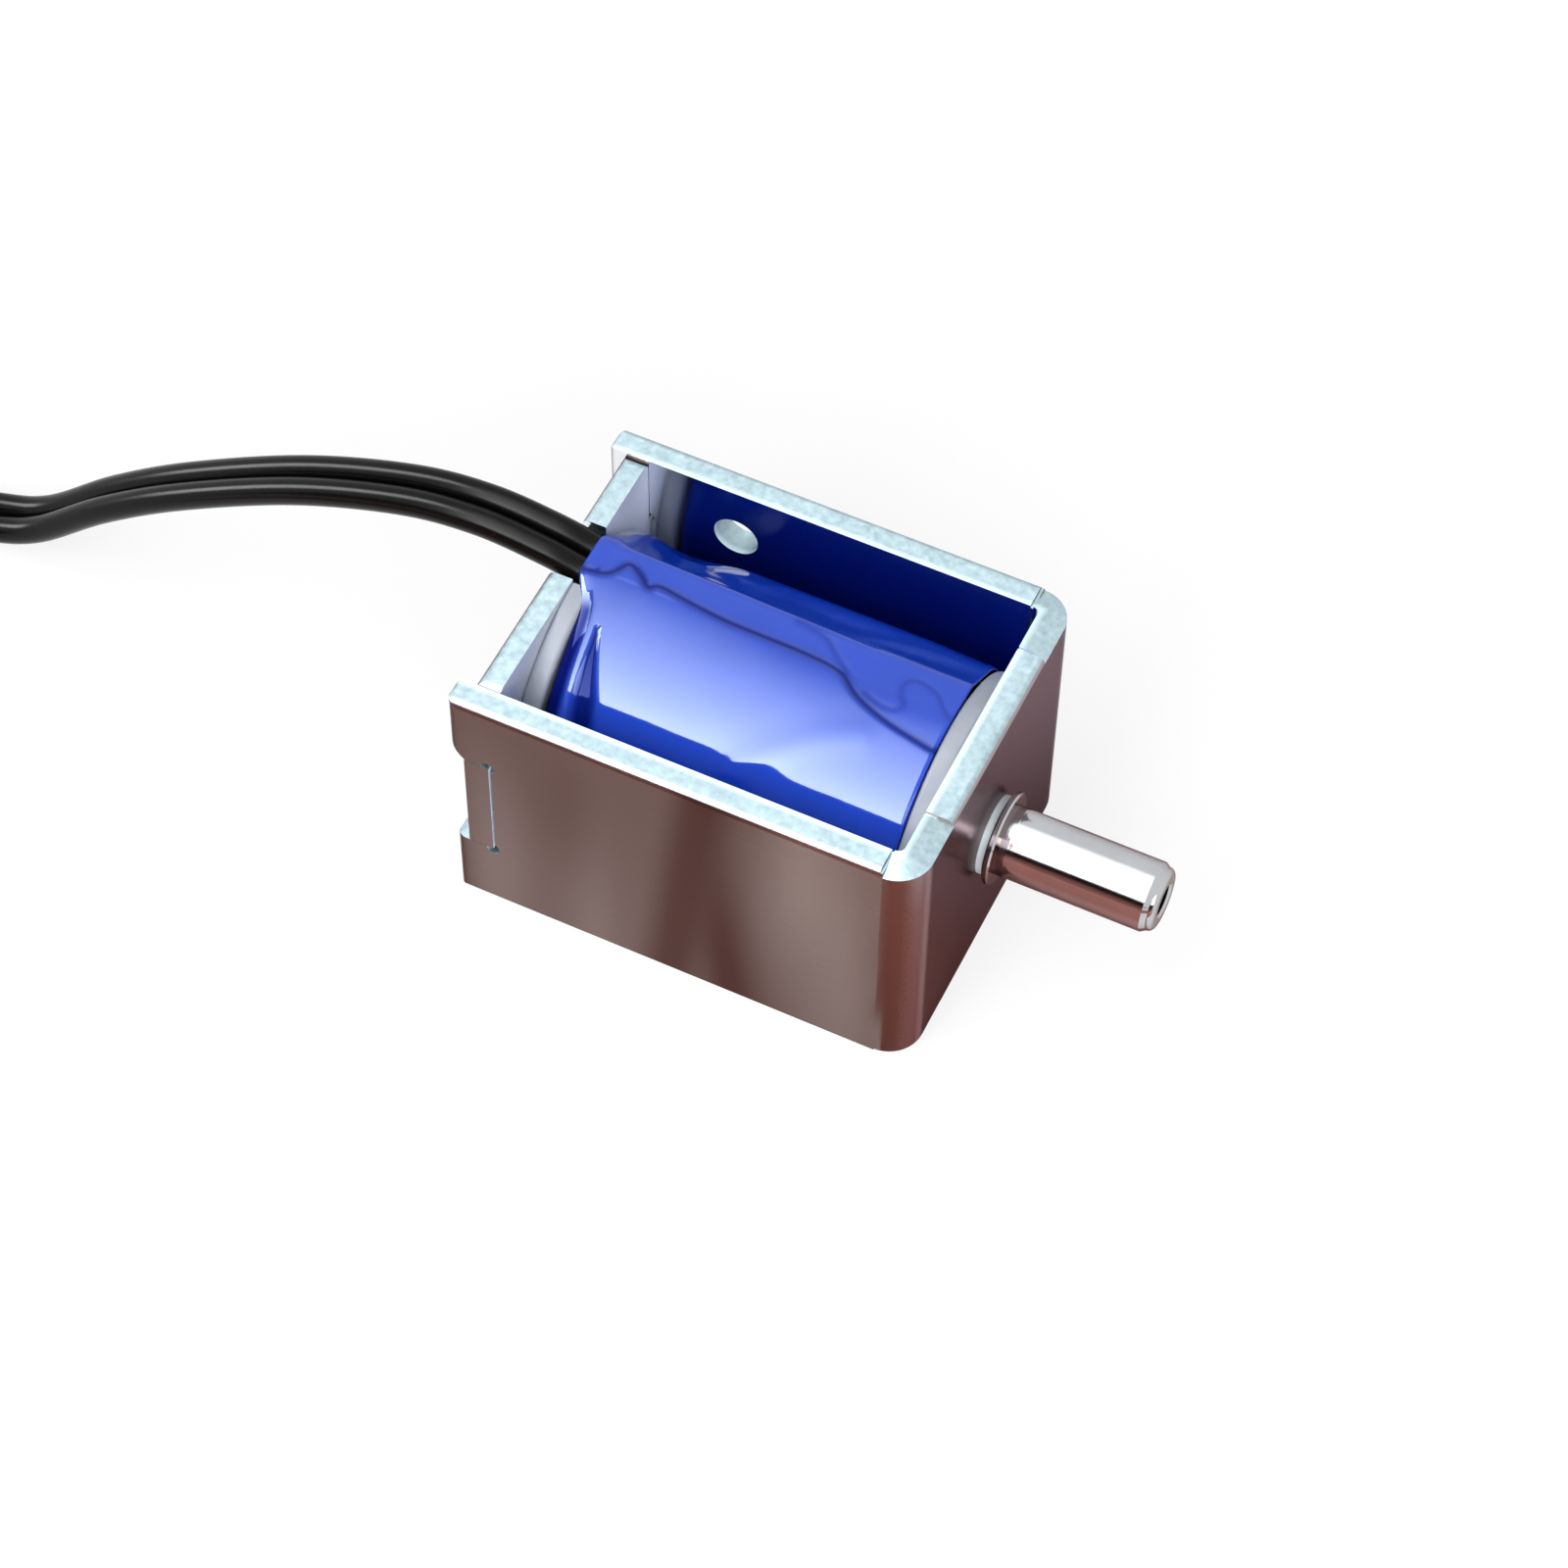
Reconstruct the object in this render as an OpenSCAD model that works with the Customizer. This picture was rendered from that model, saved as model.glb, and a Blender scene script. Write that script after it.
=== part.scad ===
// Micro solenoid valve with a hose nozzle, in millimetres.
// The air path runs from the nozzle through the fixed core to a seat inside the coil. A sprung plunger
// stands back from the seat at rest, and the coil pulls it forward to close it.
// +X points along the nozzle, +Z is up, and the origin is on the underside, halfway along.

/* [Frame] */
// Length of the bent frame, from the ends of its walls to the face of its front plate
frame_length = 20.5; // [19:0.1:24]
// Width over the two walls
frame_width = 15.6; // [15.2:0.1:18]
// Height of the strip that the frame is bent from
frame_height = 12.8; // [12.7:0.1:15]
// Thickness of the strip
strip_t = 1.2; // [0.8:0.05:1.3]
// Inner radius of the two bends
bend_inner_r = 0.3; // [0.2:0.05:0.6]
// How far the outer edges draw in through a bend
bend_draw = 0.3; // [0.1:0.05:0.6]
// Length of front plate beside each bend that the bending tool marks
bend_mark = 1.9; // [0.5:0.1:2.4]
// Width and depth of the tool marks across the strip's edges beside the bends
tool_mark = 0.12; // [0.05:0.01:0.25]
// Radius of the rolled edges on the outside of the strip
edge_roll = 0.3; // [0.1:0.05:0.4]
// Radius of the rounded ends of the walls
end_round = 0.55; // [0.1:0.05:0.6]

/* [Rear plate] */
// Thickness of the rear plate
plate_t = 1.1; // [0.8:0.05:1.4]
// How far the walls stand past the rear plate
wall_overhang = 0.7; // [0.5:0.05:1.4]
// Height of the tabs that hold the rear plate in the walls
tab_height = 5.5; // [4:0.1:7]
// Chamfer above the mouth of each wall notch
notch_lead_in = 0.75; // [0.3:0.05:0.9]
// Radius of the ear below the mouth of each wall notch
ear_round = 0.35; // [0.1:0.05:0.6]
// Radius of the reliefs in the inner corners of each wall notch
notch_relief_r = 0.3; // [0.2:0.05:0.45]
// Gap between the rear plate's tabs and the inner ends of the wall notches
notch_play = 0.12; // [0.05:0.01:0.2]
// How far the rear plate stays below the edges of the walls
plate_drop = 0.08; // [0:0.02:0.4]
// Radius of the rear plate's corners
plate_corner_r = 0.4; // [0.2:0.05:1.5]
// Radius of the rolled edges on the back of the rear plate
plate_roll = 0.4; // [0.1:0.05:0.5]
// Diameter of the vent in the rear plate
vent_d = 2.4; // [1.6:0.1:3]
// Depth of the notch that the leads pass through
lead_notch_depth = 1.2; // [1:0.05:1.6]
// Radius of the inner corners of that notch
lead_notch_round = 0.3; // [0.1:0.05:0.4]

/* [Mounting holes] */
// Diameter of the two mounting holes
mount_hole_d = 2; // [1.6:0.1:2.6]
// From the ends of the walls to the first hole, and from the front plate's face to the second
mount_hole_setback = 5.8; // [4.5:0.1:8]
// From the upper edge to the first hole, and from the lower edge to the second
mount_hole_drop = 2.75; // [2:0.05:4]

/* [Coil] */
// Diameter of the bobbin's flanges
flange_d = 12.5; // [12:0.1:12.6]
// Thickness of the bobbin's flanges
flange_t = 0.9; // [0.6:0.05:1.2]
// Radius of the rounded rims of the flanges
flange_round = 0.2; // [0.05:0.05:0.3]
// Thickness of the bobbin's barrel
barrel_t = 0.6; // [0.4:0.05:0.8]
// Diameter of the copper winding
winding_d = 11; // [10:0.1:11.2]
// Diameter of the winding wire
wire_d = 0.2; // [0.1:0.02:0.3]
// How far the insulating wrap stops short of the front flange, for the winding's ends to come up
wrap_inset = 0.8; // [0.6:0.05:1.2]
// Thickness of the insulating wrap under the lead joints
wrap_t = 0.1; // [0.06:0.02:0.2]
// Thickness of the outer tape
tape_t = 0.2; // [0.1:0.02:0.3]
// How far the tape stops short of each flange
tape_inset = 0.05; // [0:0.05:0.5]

/* [Valve] */
// Diameter of the plunger
plunger_d = 4.6; // [4:0.1:5]
// Travel of the plunger from rest to the seat
stroke = 1; // [0.5:0.1:1.3]
// Wall thickness of the brass guide sleeve
sleeve_t = 0.25; // [0.15:0.05:0.35]
// Length of the fixed core inside the coil
core_length = 7.5; // [6.5:0.1:8.5]
// Diameter of the hole in the seat
orifice_d = 1.1; // [0.8:0.1:1.3]
// Diameter of the seat's lip
seat_d = 1.8; // [1.6:0.1:2.1]
// Height of the seat's lip
seat_h = 0.3; // [0.2:0.05:0.5]
// Diameter of the rubber seal in the plunger
seal_d = 2; // [1.9:0.05:2.2]
// Depth of the seal in the plunger
seal_depth = 1.4; // [0.8:0.1:2]
// How far the seal stands out of the plunger
seal_lip = 0.15; // [0.1:0.05:0.3]
// Wall round the seal at the plunger's nose
nose_wall = 0.3; // [0.2:0.05:0.4]
// Length of the plunger's nose
nose_length = 1.3; // [1:0.1:2]
// Diameter of the return spring's wire
spring_wire_d = 0.25; // [0.15:0.01:0.3]
// Turns of the return spring
spring_turns = 5; // [4:1:6]
// Thickness of the bumper behind the plunger
bumper_t = 0.6; // [0.4:0.1:1]
// Diameter of the air flutes along the plunger
flute_d = 0.9; // [0.5:0.1:1.2]
// Number of air flutes
flute_count = 4; // [2:1:6]
// Turn of the first air flute from the top
flute_turn = 45; // [0:5:90]

/* [Nozzle] */
// Outside diameter of the nozzle
nozzle_d = 3; // [2.6:0.1:3.6]
// How far the nozzle reaches past the front plate
nozzle_reach = 7.5; // [5:0.1:12]
// Diameter of the nozzle's bore
nozzle_bore_d = 1.4; // [1:0.1:1.5]
// Diameter of the nozzle's collar
collar_d = 4; // [3.8:0.1:5]
// Thickness of the nozzle's collar
collar_t = 0.3; // [0.25:0.05:0.8]
// Height of the core's staked head between the plate and the collar
stake_h = 0.35; // [0.2:0.05:0.8]
// How far the staked head spreads past the hole in the plate
stake_spread = 0.2; // [0.1:0.05:0.3]
// Length of the tapered band at the nozzle's tip
tip_band = 0.5; // [0.4:0.05:0.9]
// How far the nozzle's radius falls over that band
tip_taper = 0.14; // [0.05:0.01:0.2]
// Radius of the round edge of the nozzle's tip
tip_round = 0.28; // [0.1:0.02:0.3]
// Chamfer at the mouth of the nozzle's bore
bore_lip = 0.1; // [0.05:0.01:0.15]
// Diameter of the nozzle's tail in the core
tail_d = 2; // [1.8:0.1:2.2]
// Length of the nozzle's tail in the core
tail_length = 3; // [2:0.1:4]
// Wall of the core round the nozzle's tail
spigot_wall = 0.47; // [0.3:0.01:0.6]

/* [Leads] */
// Diameter of each lead over its insulation
lead_d = 1.2; // [1:0.05:1.25]
// Diameter of the bare strands at the ends
strand_d = 0.5; // [0.3:0.05:0.7]
// Length of the bare ends
bare_length = 3; // [2:0.5:6]
// How far the insulated leads stop short of the winding, in the slot of the rear flange
lead_setback = 0.1; // [0.05:0.05:0.3]
// Diameter of the solder joints
joint_d = 0.66; // [0.6:0.02:0.8]
// Length of the solder joints
joint_length = 2; // [1.5:0.1:3]

/* [Fits] */
// Gap between pieces that are pushed together
fit_gap = 0.03; // [0.02:0.01:0.05]
// Gap all round the sliding plunger
slide_gap = 0.08; // [0.05:0.01:0.1]
// Gap left at each end of the plunger's travel
stop_gap = 0.05; // [0.02:0.01:0.08]
// Room beside the leads in the rear plate's notch
lead_room = 0.25; // [0.1:0.05:0.4]
// Room round the leads under the tape
tape_room = 0.1; // [0.05:0.01:0.15]

/* [Hidden] */
$fn = 48;
over = 1;

// Stations along X
rear_x = -(frame_length + nozzle_reach) / 2;
front_x = rear_x + frame_length;
tip_x = front_x + nozzle_reach;
plate_back_x = rear_x + wall_overhang;
coil_rear_x = plate_back_x + plate_t;
coil_front_x = front_x - strip_t;
winding_rear_x = coil_rear_x + flange_t;
winding_front_x = coil_front_x - flange_t;
wrap_front_x = winding_front_x - wrap_inset;
core_rear_x = coil_front_x - core_length;
seat_x = core_rear_x - seat_h;
seal_face_x = seat_x - stroke - stop_gap;
nose_x = seal_face_x - seal_lip;
shoulder_x = nose_x - nose_length;
plunger_rear_x = coil_rear_x + bumper_t + stop_gap;
collar_x = front_x + stake_h;
tail_x = collar_x - tail_length;

// Heights and half widths
axis_z = frame_height / 2;
half_width = frame_width / 2;
bend_outer_r = bend_inner_r + strip_t;
bend_y = half_width - bend_outer_r;
bend_x = front_x - bend_outer_r;
inner_half = half_width - strip_t;

// Radii about the coil's axis
plunger_r = plunger_d / 2;
sleeve_r = plunger_r + slide_gap;
sleeve_outer_r = sleeve_r + sleeve_t;
bobbin_bore_r = sleeve_outer_r + fit_gap;
barrel_r = bobbin_bore_r + barrel_t;
flange_r = flange_d / 2;
winding_r = winding_d / 2;
wrap_r = winding_r + fit_gap + wrap_t;
tape_inner_r = wrap_r + wire_d + 2 * fit_gap;
spigot_r = tail_d / 2 + fit_gap + spigot_wall;
nose_r = seal_d / 2 + fit_gap + nose_wall;
spring_r = (nose_r + plunger_r) / 2;

// The two leads leave the coil side by side, a little lower than their joints on top of the wrap
lead_r = lead_d / 2;
joint_r = joint_d / 2;
lead_y = 1.3;
lead_lift = 0.05;
lead_rise = 0.45;
joint_rise = 0.15;
lead_half_gap = lead_r + fit_gap;
joint_z = axis_z + wrap_r + joint_r + fit_gap;
lead_z = joint_z - joint_rise;
lead_notch_w = 2 * (lead_half_gap + lead_r + lead_room);
lead_start_x = winding_rear_x - lead_setback;
joint_x = lead_start_x + joint_length;

// Middle line of the pair of leads: x, y, z and half the distance between the two
lead_route = [
    [lead_start_x, lead_y, lead_z, lead_half_gap],
    [coil_rear_x, lead_y, lead_z + lead_lift, lead_half_gap],
    [rear_x, lead_y, lead_z + lead_rise, lead_half_gap],
    [-17, 1.25, 13, 0.63],
    [-20.5, 1.15, 12.5, 0.63],
    [-25.5, 0.9, 10.7, 0.63],
    [-31, 0.6, 7.7, 0.63],
    [-35, 0.4, 4.9, 0.63],
    [-38.5, 0.2, 1.9, 0.63],
    [-41, 0, 0.85, 0.65],
    [-44, -0.5, 0.65, 0.7],
    [-49, -2, 0.65, 0.8],
    [-54, -3, 0.65, 0.8],
    [-59, -2.4, 0.65, 0.8],
    [-64, -0.8, 0.65, 0.8],
    [-69, 0.8, 0.65, 1],
    [-74, 1.5, 0.65, 1.4],
    [-79, 1.2, 0.65, 2]
];
lead_steps = 2;
lead_sides = 8;
wire_sides = 6;
spring_steps = 14;
end_turn_rise = 1.1 * spring_wire_d;
tail_slope = 1;
skin = 0.01;

// Curves and tubes

function unit(v) = v / norm(v);

// A point of the smooth curve through the points p, a share t of the way from point i to the next
function curve_point(p, i, t) =
    let (n = len(p) - 1, a = p[max(i - 1, 0)], b = p[i], c = p[i + 1], d = p[min(i + 2, n)])
    0.5 * (2 * b + (c - a) * t + (2 * a - 5 * b + 4 * c - d) * t * t + (3 * b - a - 3 * c + d) * t * t * t);

function curve(p, steps) = [
    for (i = [0 : len(p) - 2]) for (s = [0 : steps - 1]) curve_point(p, i, s / steps),
    p[len(p) - 1]
];

function ahead(p, i) = unit(p[min(i + 1, len(p) - 1)] - p[max(i - 1, 0)]);

function sideways(along) = unit(cross(along, [0, 0, 1]));

function middle(route) = [for (q = route) [q[0], q[1], q[2]]];

// One lead's own line, beside the middle line of the pair
function beside(route, sign) =
    let (m = middle(route))
    [for (i = [0 : len(m) - 1]) m[i] + sign * route[i][3] * sideways(ahead(m, i))];

function ring(p, i, r, sides) =
    let (along = ahead(p, i), side = sideways(along), rise = cross(side, along))
    [for (k = [0 : sides - 1]) p[i] + r * (cos(360 * k / sides) * side + sin(360 * k / sides) * rise)];

// A round tube along the points p
module tube(p, d, sides) {
    rings = len(p);
    points = [for (i = [0 : rings - 1]) each ring(p, i, d / 2, sides)];
    walls = [
        for (i = [0 : rings - 2]) for (k = [0 : sides - 1])
            let (j = (k + 1) % sides)
            [i * sides + k, i * sides + j, (i + 1) * sides + j, (i + 1) * sides + k]
    ];
    ends = [
        [for (k = [sides - 1 : -1 : 0]) k],
        [for (k = [0 : sides - 1]) (rings - 1) * sides + k]
    ];
    polyhedron(points, concat(walls, ends), convexity = 10);
}

// Placing

// A shape drawn as (radius, X), turned about the coil's axis
module turned() {
    translate([0, 0, axis_z]) rotate([0, 90, 0]) rotate_extrude() children();
}

// A shape drawn as (Y, Z), extruded along X from x
module along_x(x, length) {
    translate([x, 0, 0]) rotate([90, 0, 90]) linear_extrude(length) children();
}

// A shape drawn as (X, Z), extruded along Y from y
module along_y(y, length) {
    translate([0, y + length, 0]) rotate([90, 0, 0]) linear_extrude(length) children();
}

module x_cylinder(x, length, r, y = 0, z = axis_z) {
    translate([x, y, z]) rotate([0, 90, 0]) cylinder(h = length, r = r);
}

module ring_between(inner, outer, x0, x1) {
    turned() translate([inner, x0]) square([outer - inner, x1 - x0]);
}

// A rectangle about its lower left corner, with round corners
module rounded(w, h, r) {
    translate([r, 0]) square([w - 2 * r, h]);
    translate([0, r]) square([w, h - 2 * r]);
    for (x = [r, w - r], y = [r, h - r]) translate([x, y]) circle(r);
}

// What a rolled edge takes off a square corner at the origin
module roll_off(r) {
    difference() {
        translate([-over, -over]) square([over + r, over + r]);
        translate([r, r]) circle(r);
        translate([r, -over]) square([over, 2 * over]);
        translate([-over, r]) square([2 * over, over]);
    }
}

// Frame

// The strip's section, from its inner face outwards, with rolled outer edges
module strip_section() {
    square([strip_t - edge_roll, frame_height]);
    translate([0, edge_roll]) square([strip_t, frame_height - 2 * edge_roll]);
    for (z = [edge_roll, frame_height - edge_roll]) translate([strip_t - edge_roll, z]) circle(edge_roll);
}

// The section where the strip is bent and its outer edges are drawn in
module drawn_section() {
    polygon([[0, 0], [strip_t, bend_draw], [strip_t, frame_height - bend_draw], [0, frame_height]]);
}

// One wall, one bend and half of the front plate, on the +Y side
module frame_half() {
    along_x(rear_x, bend_x - rear_x) translate([inner_half, 0]) strip_section();
    translate([bend_x, bend_y, 0]) rotate_extrude(angle = 90) translate([bend_inner_r, 0]) drawn_section();
    along_y(bend_y - bend_mark, bend_mark) translate([coil_front_x, 0]) drawn_section();
    along_y(0, bend_y - bend_mark) translate([coil_front_x, 0]) strip_section();
}

// The notch at the end of a wall, with a lead-in above, a round ear below and round reliefs
module wall_notch() {
    low = axis_z - tab_height / 2 - fit_gap;
    high = axis_z + tab_height / 2 + fit_gap;
    end_x = coil_rear_x + notch_play;
    polygon([
        [rear_x - over, low],
        [end_x, low],
        [end_x, high],
        [rear_x + notch_lead_in, high],
        [rear_x - over, high + notch_lead_in + over]
    ]);
    translate([rear_x, low]) mirror([0, 1]) roll_off(ear_round);
    for (z = [low, high]) translate([end_x - notch_relief_r / 2, z]) circle(notch_relief_r);
}

// What the rounded end of the wall on the +Y side loses, seen from above and from the side
module end_rounding() {
    linear_extrude(frame_height) {
        translate([rear_x, half_width]) mirror([0, 1]) roll_off(end_round);
        translate([rear_x, inner_half]) roll_off(end_round / 2);
    }
    along_y(0, frame_width) {
        translate([rear_x, frame_height]) mirror([0, 1]) roll_off(end_round / 2);
        translate([rear_x, 0]) roll_off(end_round / 2);
    }
}

// Where the bending tool stopped, a fine mark crosses the upper and the lower edge of the strip
module tool_marks() {
    for (z = [0, frame_height]) {
        translate([bend_x - tool_mark, 0, z - tool_mark]) cube([tool_mark, frame_width, 2 * tool_mark]);
        translate([bend_x, bend_y - bend_mark, z - tool_mark])
            cube([2 * bend_outer_r, tool_mark, 2 * tool_mark]);
    }
}

module mount_hole(x, z) {
    translate([x, 0, z]) rotate([-90, 0, 0]) cylinder(h = frame_width, r = mount_hole_d / 2);
}

module frame() {
    color("#b9bcc4") difference() {
        union() {
            frame_half();
            mirror([0, 1, 0]) frame_half();
        }
        tool_marks();
        mirror([0, 1, 0]) tool_marks();
        end_rounding();
        mirror([0, 1, 0]) end_rounding();
        along_y(-frame_width, 2 * frame_width) wall_notch();
        mount_hole(rear_x + mount_hole_setback, frame_height - mount_hole_drop);
        mount_hole(front_x - mount_hole_setback, mount_hole_drop);
        x_cylinder(coil_front_x - over, strip_t + 2 * over, spigot_r + fit_gap);
    }
}

// Rear plate

module rear_plate_outline() {
    plate_w = 2 * (inner_half - fit_gap);
    plate_h = frame_height - 2 * plate_drop;
    notch_z = min(frame_height - lead_notch_depth, lead_z - lead_r - fit_gap);
    difference() {
        union() {
            translate([-plate_w / 2, plate_drop]) rounded(plate_w, plate_h, plate_corner_r);
            translate([-half_width, axis_z - tab_height / 2]) square([frame_width, tab_height]);
        }
        translate([lead_y - lead_notch_w / 2, notch_z])
            rounded(lead_notch_w, frame_height, lead_notch_round);
        translate([0, axis_z]) circle(vent_d / 2);
    }
}

module rear_plate() {
    top = frame_height - plate_drop;
    color("#aeb4c2") difference() {
        along_x(plate_back_x, plate_t) rear_plate_outline();
        along_y(-inner_half, 2 * inner_half) translate([plate_back_x, plate_drop]) roll_off(plate_roll);
        along_y(-inner_half, 2 * inner_half)
            translate([plate_back_x, top]) mirror([0, 1]) roll_off(plate_roll);
    }
}

// Coil

module rim(x0, x1) {
    translate([bobbin_bore_r, x0]) square([flange_r - flange_round - bobbin_bore_r, x1 - x0]);
    translate([bobbin_bore_r, x0 + flange_round])
        square([flange_r - bobbin_bore_r, x1 - x0 - 2 * flange_round]);
    for (x = [x0 + flange_round, x1 - flange_round])
        translate([flange_r - flange_round, x]) circle(flange_round);
}

module bobbin() {
    slot_w = 2 * (lead_half_gap + lead_r + tape_room + tape_t + fit_gap);
    slot_z = lead_z - slot_w / 2 + lead_half_gap;
    color("#c9cbd0") difference() {
        turned() {
            rim(coil_rear_x, winding_rear_x);
            translate([bobbin_bore_r, coil_rear_x]) square([barrel_t, coil_front_x - coil_rear_x]);
            rim(winding_front_x, coil_front_x);
        }
        translate([coil_rear_x - over, lead_y - slot_w / 2, slot_z])
            cube([flange_t + 2 * over, slot_w, frame_height]);
    }
}

module winding() {
    color("#b5651d")
        ring_between(barrel_r + fit_gap, winding_r, winding_rear_x + fit_gap, winding_front_x - fit_gap);
}

// The wrap stops short of the front flange, where the winding's two ends come up
module inner_wrap() {
    color("#d9b45a") ring_between(winding_r + fit_gap, wrap_r, winding_rear_x + fit_gap, wrap_front_x);
}

// The two ends of the winding wire run back along the wrap to the lead joints
module winding_tail(y) {
    on_wrap = wrap_r + wire_d / 2 + fit_gap;
    wrap_z = axis_z + sqrt(on_wrap * on_wrap - y * y);
    winding_z = axis_z + sqrt(winding_r * winding_r - y * y);
    tube([
        [joint_x, y, joint_z],
        [joint_x + tail_slope, y, (joint_z + wrap_z) / 2],
        [joint_x + 2 * tail_slope, y, wrap_z],
        [wrap_front_x, y, wrap_z],
        [winding_front_x - wire_d, y, winding_z + wire_d / 2 + 2 * fit_gap]
    ], wire_d, wire_sides);
}

module winding_tails() {
    color("#c0703a") for (s = [-1, 1]) winding_tail(lead_y + s * lead_half_gap);
}

// Solder over the bare strands, with round ends
module solder_joint(y) {
    translate([lead_start_x, y, joint_z]) rotate([0, 90, 0]) rotate_extrude() difference() {
        union() {
            square([joint_r, joint_length - joint_r]);
            translate([0, joint_length - joint_r]) circle(joint_r);
        }
        translate([-joint_d, 0]) square([joint_d, joint_length + joint_r]);
    }
}

module solder_joints() {
    color("#c4c7cc") for (s = [-1, 1]) solder_joint(lead_y + s * lead_half_gap);
}

// The outlines of the two leads or joints side by side, and of the coil, each with room and cover round it
module pair_outline(z, r, grow) {
    for (s = [-1, 1]) translate([lead_y + s * lead_half_gap, z]) circle(r + tape_room + grow, $fn = 24);
}

module coil_outline(grow) {
    translate([0, axis_z]) circle(tape_inner_r + grow, $fn = 72);
}

// The tape lies over the lead joints at the rear, falls to the coil at the front, and ends in a cuff
module tape_form(x0, x1, cuff_x, grow) {
    hull() {
        along_x(x0, skin) pair_outline(lead_z, lead_r, grow);
        along_x(x0, joint_x - x0) {
            coil_outline(grow);
            pair_outline(joint_z, joint_r, grow);
        }
        along_x(x1 - skin, skin) coil_outline(grow);
    }
    along_x(cuff_x, x0 + skin - cuff_x) hull() pair_outline(lead_z, lead_r - skin, grow);
}

module tape_wrap() {
    x0 = winding_rear_x + tape_inset;
    x1 = winding_front_x - tape_inset;
    cuff_x = coil_rear_x + tape_inset;
    color("#2f55e6") difference() {
        tape_form(x0, x1, cuff_x, tape_t);
        tape_form(x0 - skin, x1 + over, cuff_x - over, 0);
        along_x(cuff_x - over, x0 - cuff_x + over) coil_outline(-skin);
    }
}

// Leads

module lead(sign) {
    color("#1b1b1d") tube(curve(beside(lead_route, sign), lead_steps), lead_d, lead_sides);
}

module lead_tip(sign) {
    line = curve(beside(lead_route, sign), lead_steps);
    end = line[len(line) - 1];
    along = ahead(line, len(line) - 1);
    turn = atan2(along[1], along[0]);
    color("#c8ccd2") translate(end) rotate([0, 0, turn]) rotate([0, 90, 0])
        cylinder(h = bare_length, d = strand_d);
}

module lead_a() { lead(1); }
module lead_b() { lead(-1); }
module lead_tip_a() { lead_tip(1); }
module lead_tip_b() { lead_tip(-1); }

// Valve

module fixed_core() {
    core_r = sleeve_r - fit_gap;
    orifice_r = orifice_d / 2;
    socket_r = tail_d / 2 + fit_gap;
    head_r = spigot_r + stake_spread;
    lip_slope = seat_h / 2;
    color("#b4b6bc") turned() polygon([
        [orifice_r, seat_x],
        [seat_d / 2, seat_x],
        [seat_d / 2 + lip_slope, core_rear_x],
        [core_r, core_rear_x],
        [core_r, coil_front_x],
        [spigot_r, coil_front_x],
        [spigot_r, front_x],
        [head_r, front_x],
        [head_r, collar_x],
        [socket_r, collar_x],
        [socket_r, tail_x - fit_gap],
        [orifice_r, tail_x - fit_gap]
    ]);
}

// The nozzle's tail sits in the core, its collar on the staked head, and its tip is tapered and rounded
module nozzle() {
    bore_r = nozzle_bore_d / 2;
    tube_r = nozzle_d / 2;
    collar_r = collar_d / 2;
    soften = collar_t / 4;
    tip_r = tube_r - tip_taper;
    color("#d8d6da") turned() {
        polygon([
            [bore_r, tail_x],
            [tail_d / 2, tail_x],
            [tail_d / 2, collar_x],
            [collar_r - soften, collar_x],
            [collar_r, collar_x + soften],
            [collar_r, collar_x + collar_t - soften],
            [collar_r - soften, collar_x + collar_t],
            [tube_r, collar_x + collar_t],
            [tube_r, tip_x - tip_band],
            [tip_r, tip_x - tip_round],
            [tip_r - tip_round, tip_x],
            [bore_r + bore_lip, tip_x],
            [bore_r, tip_x - bore_lip]
        ]);
        translate([tip_r - tip_round, tip_x - tip_round]) circle(tip_round);
    }
}

module guide_sleeve() {
    color("#c9a54a") ring_between(sleeve_r, sleeve_outer_r, coil_rear_x, coil_front_x);
}

module plunger() {
    pocket_r = seal_d / 2 + fit_gap;
    pocket_x = seal_face_x - seal_lip - seal_depth;
    body_length = shoulder_x - plunger_rear_x;
    color("#9fa3aa") difference() {
        turned() {
            translate([0, plunger_rear_x]) square([plunger_r, body_length]);
            translate([0, shoulder_x]) square([nose_r, nose_length]);
        }
        x_cylinder(pocket_x, nose_x - pocket_x + over, pocket_r);
        for (k = [0 : flute_count - 1])
            translate([0, 0, axis_z]) rotate([360 * k / flute_count + flute_turn, 0, 0])
                x_cylinder(plunger_rear_x - over, body_length + 2 * over, flute_d / 2, z = plunger_r);
    }
}

module plunger_seal() {
    pocket_x = seal_face_x - seal_lip - seal_depth;
    color("#2a2a2c") x_cylinder(pocket_x, seal_face_x - pocket_x, seal_d / 2);
}

// The spring's end turns lie flat on the plunger's shoulder and on the core
module return_spring() {
    steps = spring_turns * spring_steps;
    seat_room = spring_wire_d / 2 + fit_gap;
    x0 = shoulder_x + seat_room;
    x1 = core_rear_x - seat_room;
    middle_turns = spring_turns - 2;
    function spring_x(turn) =
        turn < 1 ? x0 + end_turn_rise * turn
        : turn > spring_turns - 1 ? x1 - end_turn_rise * (spring_turns - turn)
        : x0 + end_turn_rise + (x1 - x0 - 2 * end_turn_rise) * (turn - 1) / middle_turns;
    line = [
        for (i = [0 : steps])
            let (turn = i / spring_steps)
            [spring_r * cos(360 * turn), spring_r * sin(360 * turn), spring_x(turn)]
    ];
    color("#d5d8dd") translate([0, 0, axis_z]) rotate([0, 90, 0]) tube(line, spring_wire_d, wire_sides);
}

module rear_bumper() {
    color("#3a3a3c") ring_between(vent_d / 2, sleeve_r - fit_gap, coil_rear_x, coil_rear_x + bumper_t);
}

frame();
rear_plate();
bobbin();
winding();
winding_tails();
inner_wrap();
solder_joints();
tape_wrap();
lead_a();
lead_b();
lead_tip_a();
lead_tip_b();
fixed_core();
nozzle();
guide_sleeve();
plunger();
plunger_seal();
return_spring();
rear_bumper();
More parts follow.
